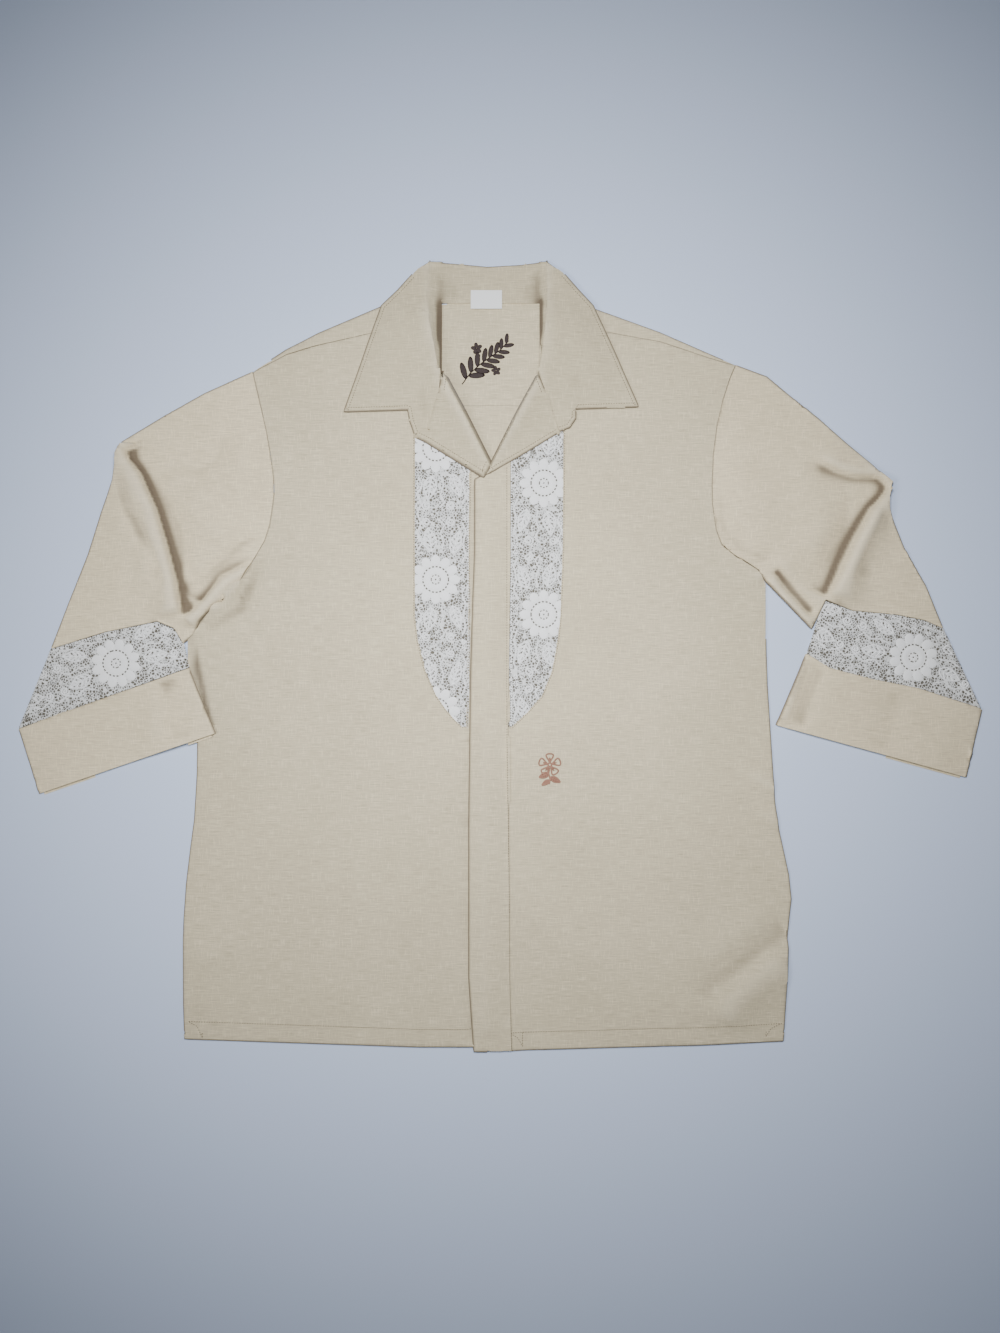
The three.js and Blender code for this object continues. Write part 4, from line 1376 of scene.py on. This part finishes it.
# ---- embroidered blossom on the right front ----
emblem = {
    "centre": (51, -111),
    "petals": 5, "petalLong": 9.5, "petalWide": 4.2, "eye": 1.8, "rib": (2.6, 5.0, 7.4),
    "stem": [(0, -3), (-1.2, -9), (0.5, -15), (-0.5, -20)],
    "leaves": [(-0.8, -9, -11, -13, 2.6), (0.4, -13, 11, -18, 2.6), (-0.2, -16, -8, -21, 2.0)],
    "cord": 0.8, "cordFlat": 0.7,
}


def emblemLines():
    centre = emblem["centre"]
    lines = []
    for number in range(emblem["petals"]):
        angle = math.pi / 2 + number * 2 * math.pi / emblem["petals"]
        long, wide = emblem["petalLong"], emblem["petalWide"]
        loop = []
        for step in range(19):
            t = step / 18
            out = emblem["eye"] + long * math.sin(math.pi * t) ** 0.8
            off = wide * math.sin(2 * math.pi * t) * (0.6 + 0.4 * math.sin(math.pi * t))
            loop.append(around(around(centre, out, angle), off, angle + math.pi / 2))
        lines.append(loop)
        lines.append([around(centre, reach, angle) for reach in emblem["rib"]])
    lines.append([around(centre, emblem["eye"], step * sixth / 2) for step in range(13)])
    sprig = [emblem["stem"]]
    for leaf in emblem["leaves"]:
        sprig += leafLines(*leaf)
    return lines + [[(centre[0] + x, centre[1] + y) for x, y in line] for line in sprig]


blossom = cordsAlong("blossom_embroidery", emblemLines(), emblem["cord"], emblem["cordFlat"])
layOn(blossom, [frontRight], 0.1)
rosePaint = Paint("roseFloss")
roseX = rosePaint.axes(rosePaint.place(0.6, (1 / mm,) * 3))[0]
floss = (roseX * 11.0).sine() * 0.5 + 0.5
rosePaint.feed("Base Color", rosePaint.blend(floss, (0.26, 0.115, 0.07), (0.44, 0.23, 0.16)))
rosePaint.feed("Roughness", 0.45)
rosePaint.bump(floss, 0.5, 0.15 * mm)
finishPiece(blossom, rosePaint.material)
print("label, print and embroidery done")

# ---- sleeves ----
sleeveLeftTube = {
    "node": "sleeve_left", "cell": 2.4, "soften": 20, "wander": 1.0, "wanderScale": 60,
    "joins": ["front_left", "yoke", "back", "lace_sleeve_left"],
    "folds": [
        fold([(-390, 214), (-371, 186), (-356, 151), (-345, 115), (-335, 78), (-328, 40)], 7.5, 4, 20, 4, 12),
        fold([(-386, 216), (-365, 187), (-349, 152), (-338, 116), (-329, 78), (-323, 40)], -6, 17, 4, 10, 8),
        fold([(-392, 186), (-382, 150), (-354, 104), (-343, 62)], -3.4, 7, 9, 30, 30),
        fold([(-388, 218), (-386, 200)], 9, 22, 22, 1, 22),
        fold([(-380, 214), (-351, 198), (-312, 199), (-263, 236)], -4.6, 14, 18, 8, 50),
        fold([(-330, 178), (-300, 150), (-292, 110)], 5.0, 24, 22, 36, 24),
        fold([(-238, 118), (-266, 102), (-291, 86), (-312, 56)], -6.5, 6, 15, 26, 6),
        fold([(-250, 94), (-279, 77), (-303, 52), (-320, 32)], 6.0, 7, 7, 14, 6),
        fold([(-262, 240), (-258, 180), (-252, 140)], 2.2, 8, 18, fadeIn=40),
    ],
}
sleeveRightTube = {
    "node": "sleeve_right", "cell": 2.4, "soften": 20, "wander": 1.0, "wanderScale": 60,
    "joins": ["front_right", "yoke", "back", "lace_sleeve_right"],
    "folds": [
        fold([(402, 174), (384, 148), (368, 118), (353, 86), (340, 58)], 7.5, 18, 4, 4, 12),
        fold([(399, 176), (376, 156), (360, 128), (344, 96), (330, 60)], -6, 4, 17, 10, 8),
        fold([(398, 152), (378, 111), (361, 72)], -3.0, 12, 6, fadeIn=10),
        fold([(404, 181), (396, 168)], 10, 20, 20, 1, 18),
        fold([(396, 177), (365, 179), (346, 184), (312, 203)], -5.5, 18, 5, 12, 30),
        fold([(392, 186), (362, 190), (342, 198), (316, 216)], 4.0, 5, 20, 14, 34),
        fold([(352, 150), (326, 124), (306, 104)], 4.0, 20, 22, 30, 20),
        fold([(212, 180), (222, 140), (246, 112), (282, 98)], -2.6, 12, 6, fadeIn=30),
        fold([(238, 220), (262, 150), (290, 120)], 2.6, 20, 18, 40, 30),
        fold([(282, 90), (304, 64), (323, 42)], -5.0, 4, 4, 3, 10),
        fold([(274, 80), (300, 52), (322, 32)], 3.2, 6, 7, 6, 6),
    ],
}
laceLeftTube = {
    "node": "lace_sleeve_left", "cell": 3.5, "soften": 10, "wander": 0.5, "wanderScale": 45,
    "joins": ["sleeve_left", "cuff_left"],
}
laceRightTube = {
    "node": "lace_sleeve_right", "cell": 3.5, "soften": 10, "wander": 0.5, "wanderScale": 45,
    "joins": ["sleeve_right", "cuff_right"],
}
cuffLeftTube = {
    "node": "cuff_left", "cell": 4, "soften": 10, "wander": 0.5, "wanderScale": 80,
    "joins": ["lace_sleeve_left"], "mouths": [((-473, -141), (-292, -79))],
    "peeks": [((-468, -139.3), (-420, -122.9)), ((-318, -88), (-296, -80.4))],
    "folds": [fold([(-342, -22), (-324, -88)], -3.4, 12, 12, 4, 4),
              fold([(-352, -28), (-352, -96)], 1.4, 10, 18, fadeIn=4)],
}
cuffRightTube = {
    "node": "cuff_right", "cell": 4, "soften": 10, "wander": 0.5, "wanderScale": 80,
    "joins": ["lace_sleeve_right"], "mouths": [((478, -124), (285, -71))],
    "peeks": [((472, -122.4), (400, -102.6))],
    "folds": [fold([(322, -8), (301, -70)], -3.8, 12, 4, 3, 2),
              fold([(309, -6), (290, -66)], 2.6, 6, 6, 4, 2),
              fold([(406, -34), (392, -98)], -1.8, 16, 14, 4, 4)],
}
sleeves = [
    (sleeveLeftTube, linenSleeveLeftPaintedLighter, "linen", (0.40, 0.26), 0.08),
    (sleeveRightTube, linenSleeveRightPaintedLighter, "linen", (0.40, 0.25), 0.077),
    (laceLeftTube, lacePaints["lace_sleeve_left"], "lace", (0.33, 0.075), 0.021),
    (laceRightTube, lacePaints["lace_sleeve_right"], "lace", (0.33, 0.08), 0.022),
    (cuffLeftTube, linenSleeveLeftPaintedLighter, "linen", (0.40, 0.072), 0.028),
    (cuffRightTube, linenSleeveRightPaintedLighter, "linen", (0.40, 0.075), 0.029),
]
for look, material, slot, flat, area in sleeves:
    piece = tubeOn(look)
    giveWall(piece, 0.9 * mm if slot == "linen" else 0.5 * mm)
    if slot == "lace":
        work = raiseLace(look["node"], piece, (-1, 0, 1))
        finishPiece(work, cordPaint.material)
    restsOn = (frontLeft,) if look["node"] == "cuff_left" else ()
    finishPiece(piece, material, [look["node"]])
print("sleeves laid")

for piece, nodes in finished:
    if nodes:
        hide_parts(*nodes)
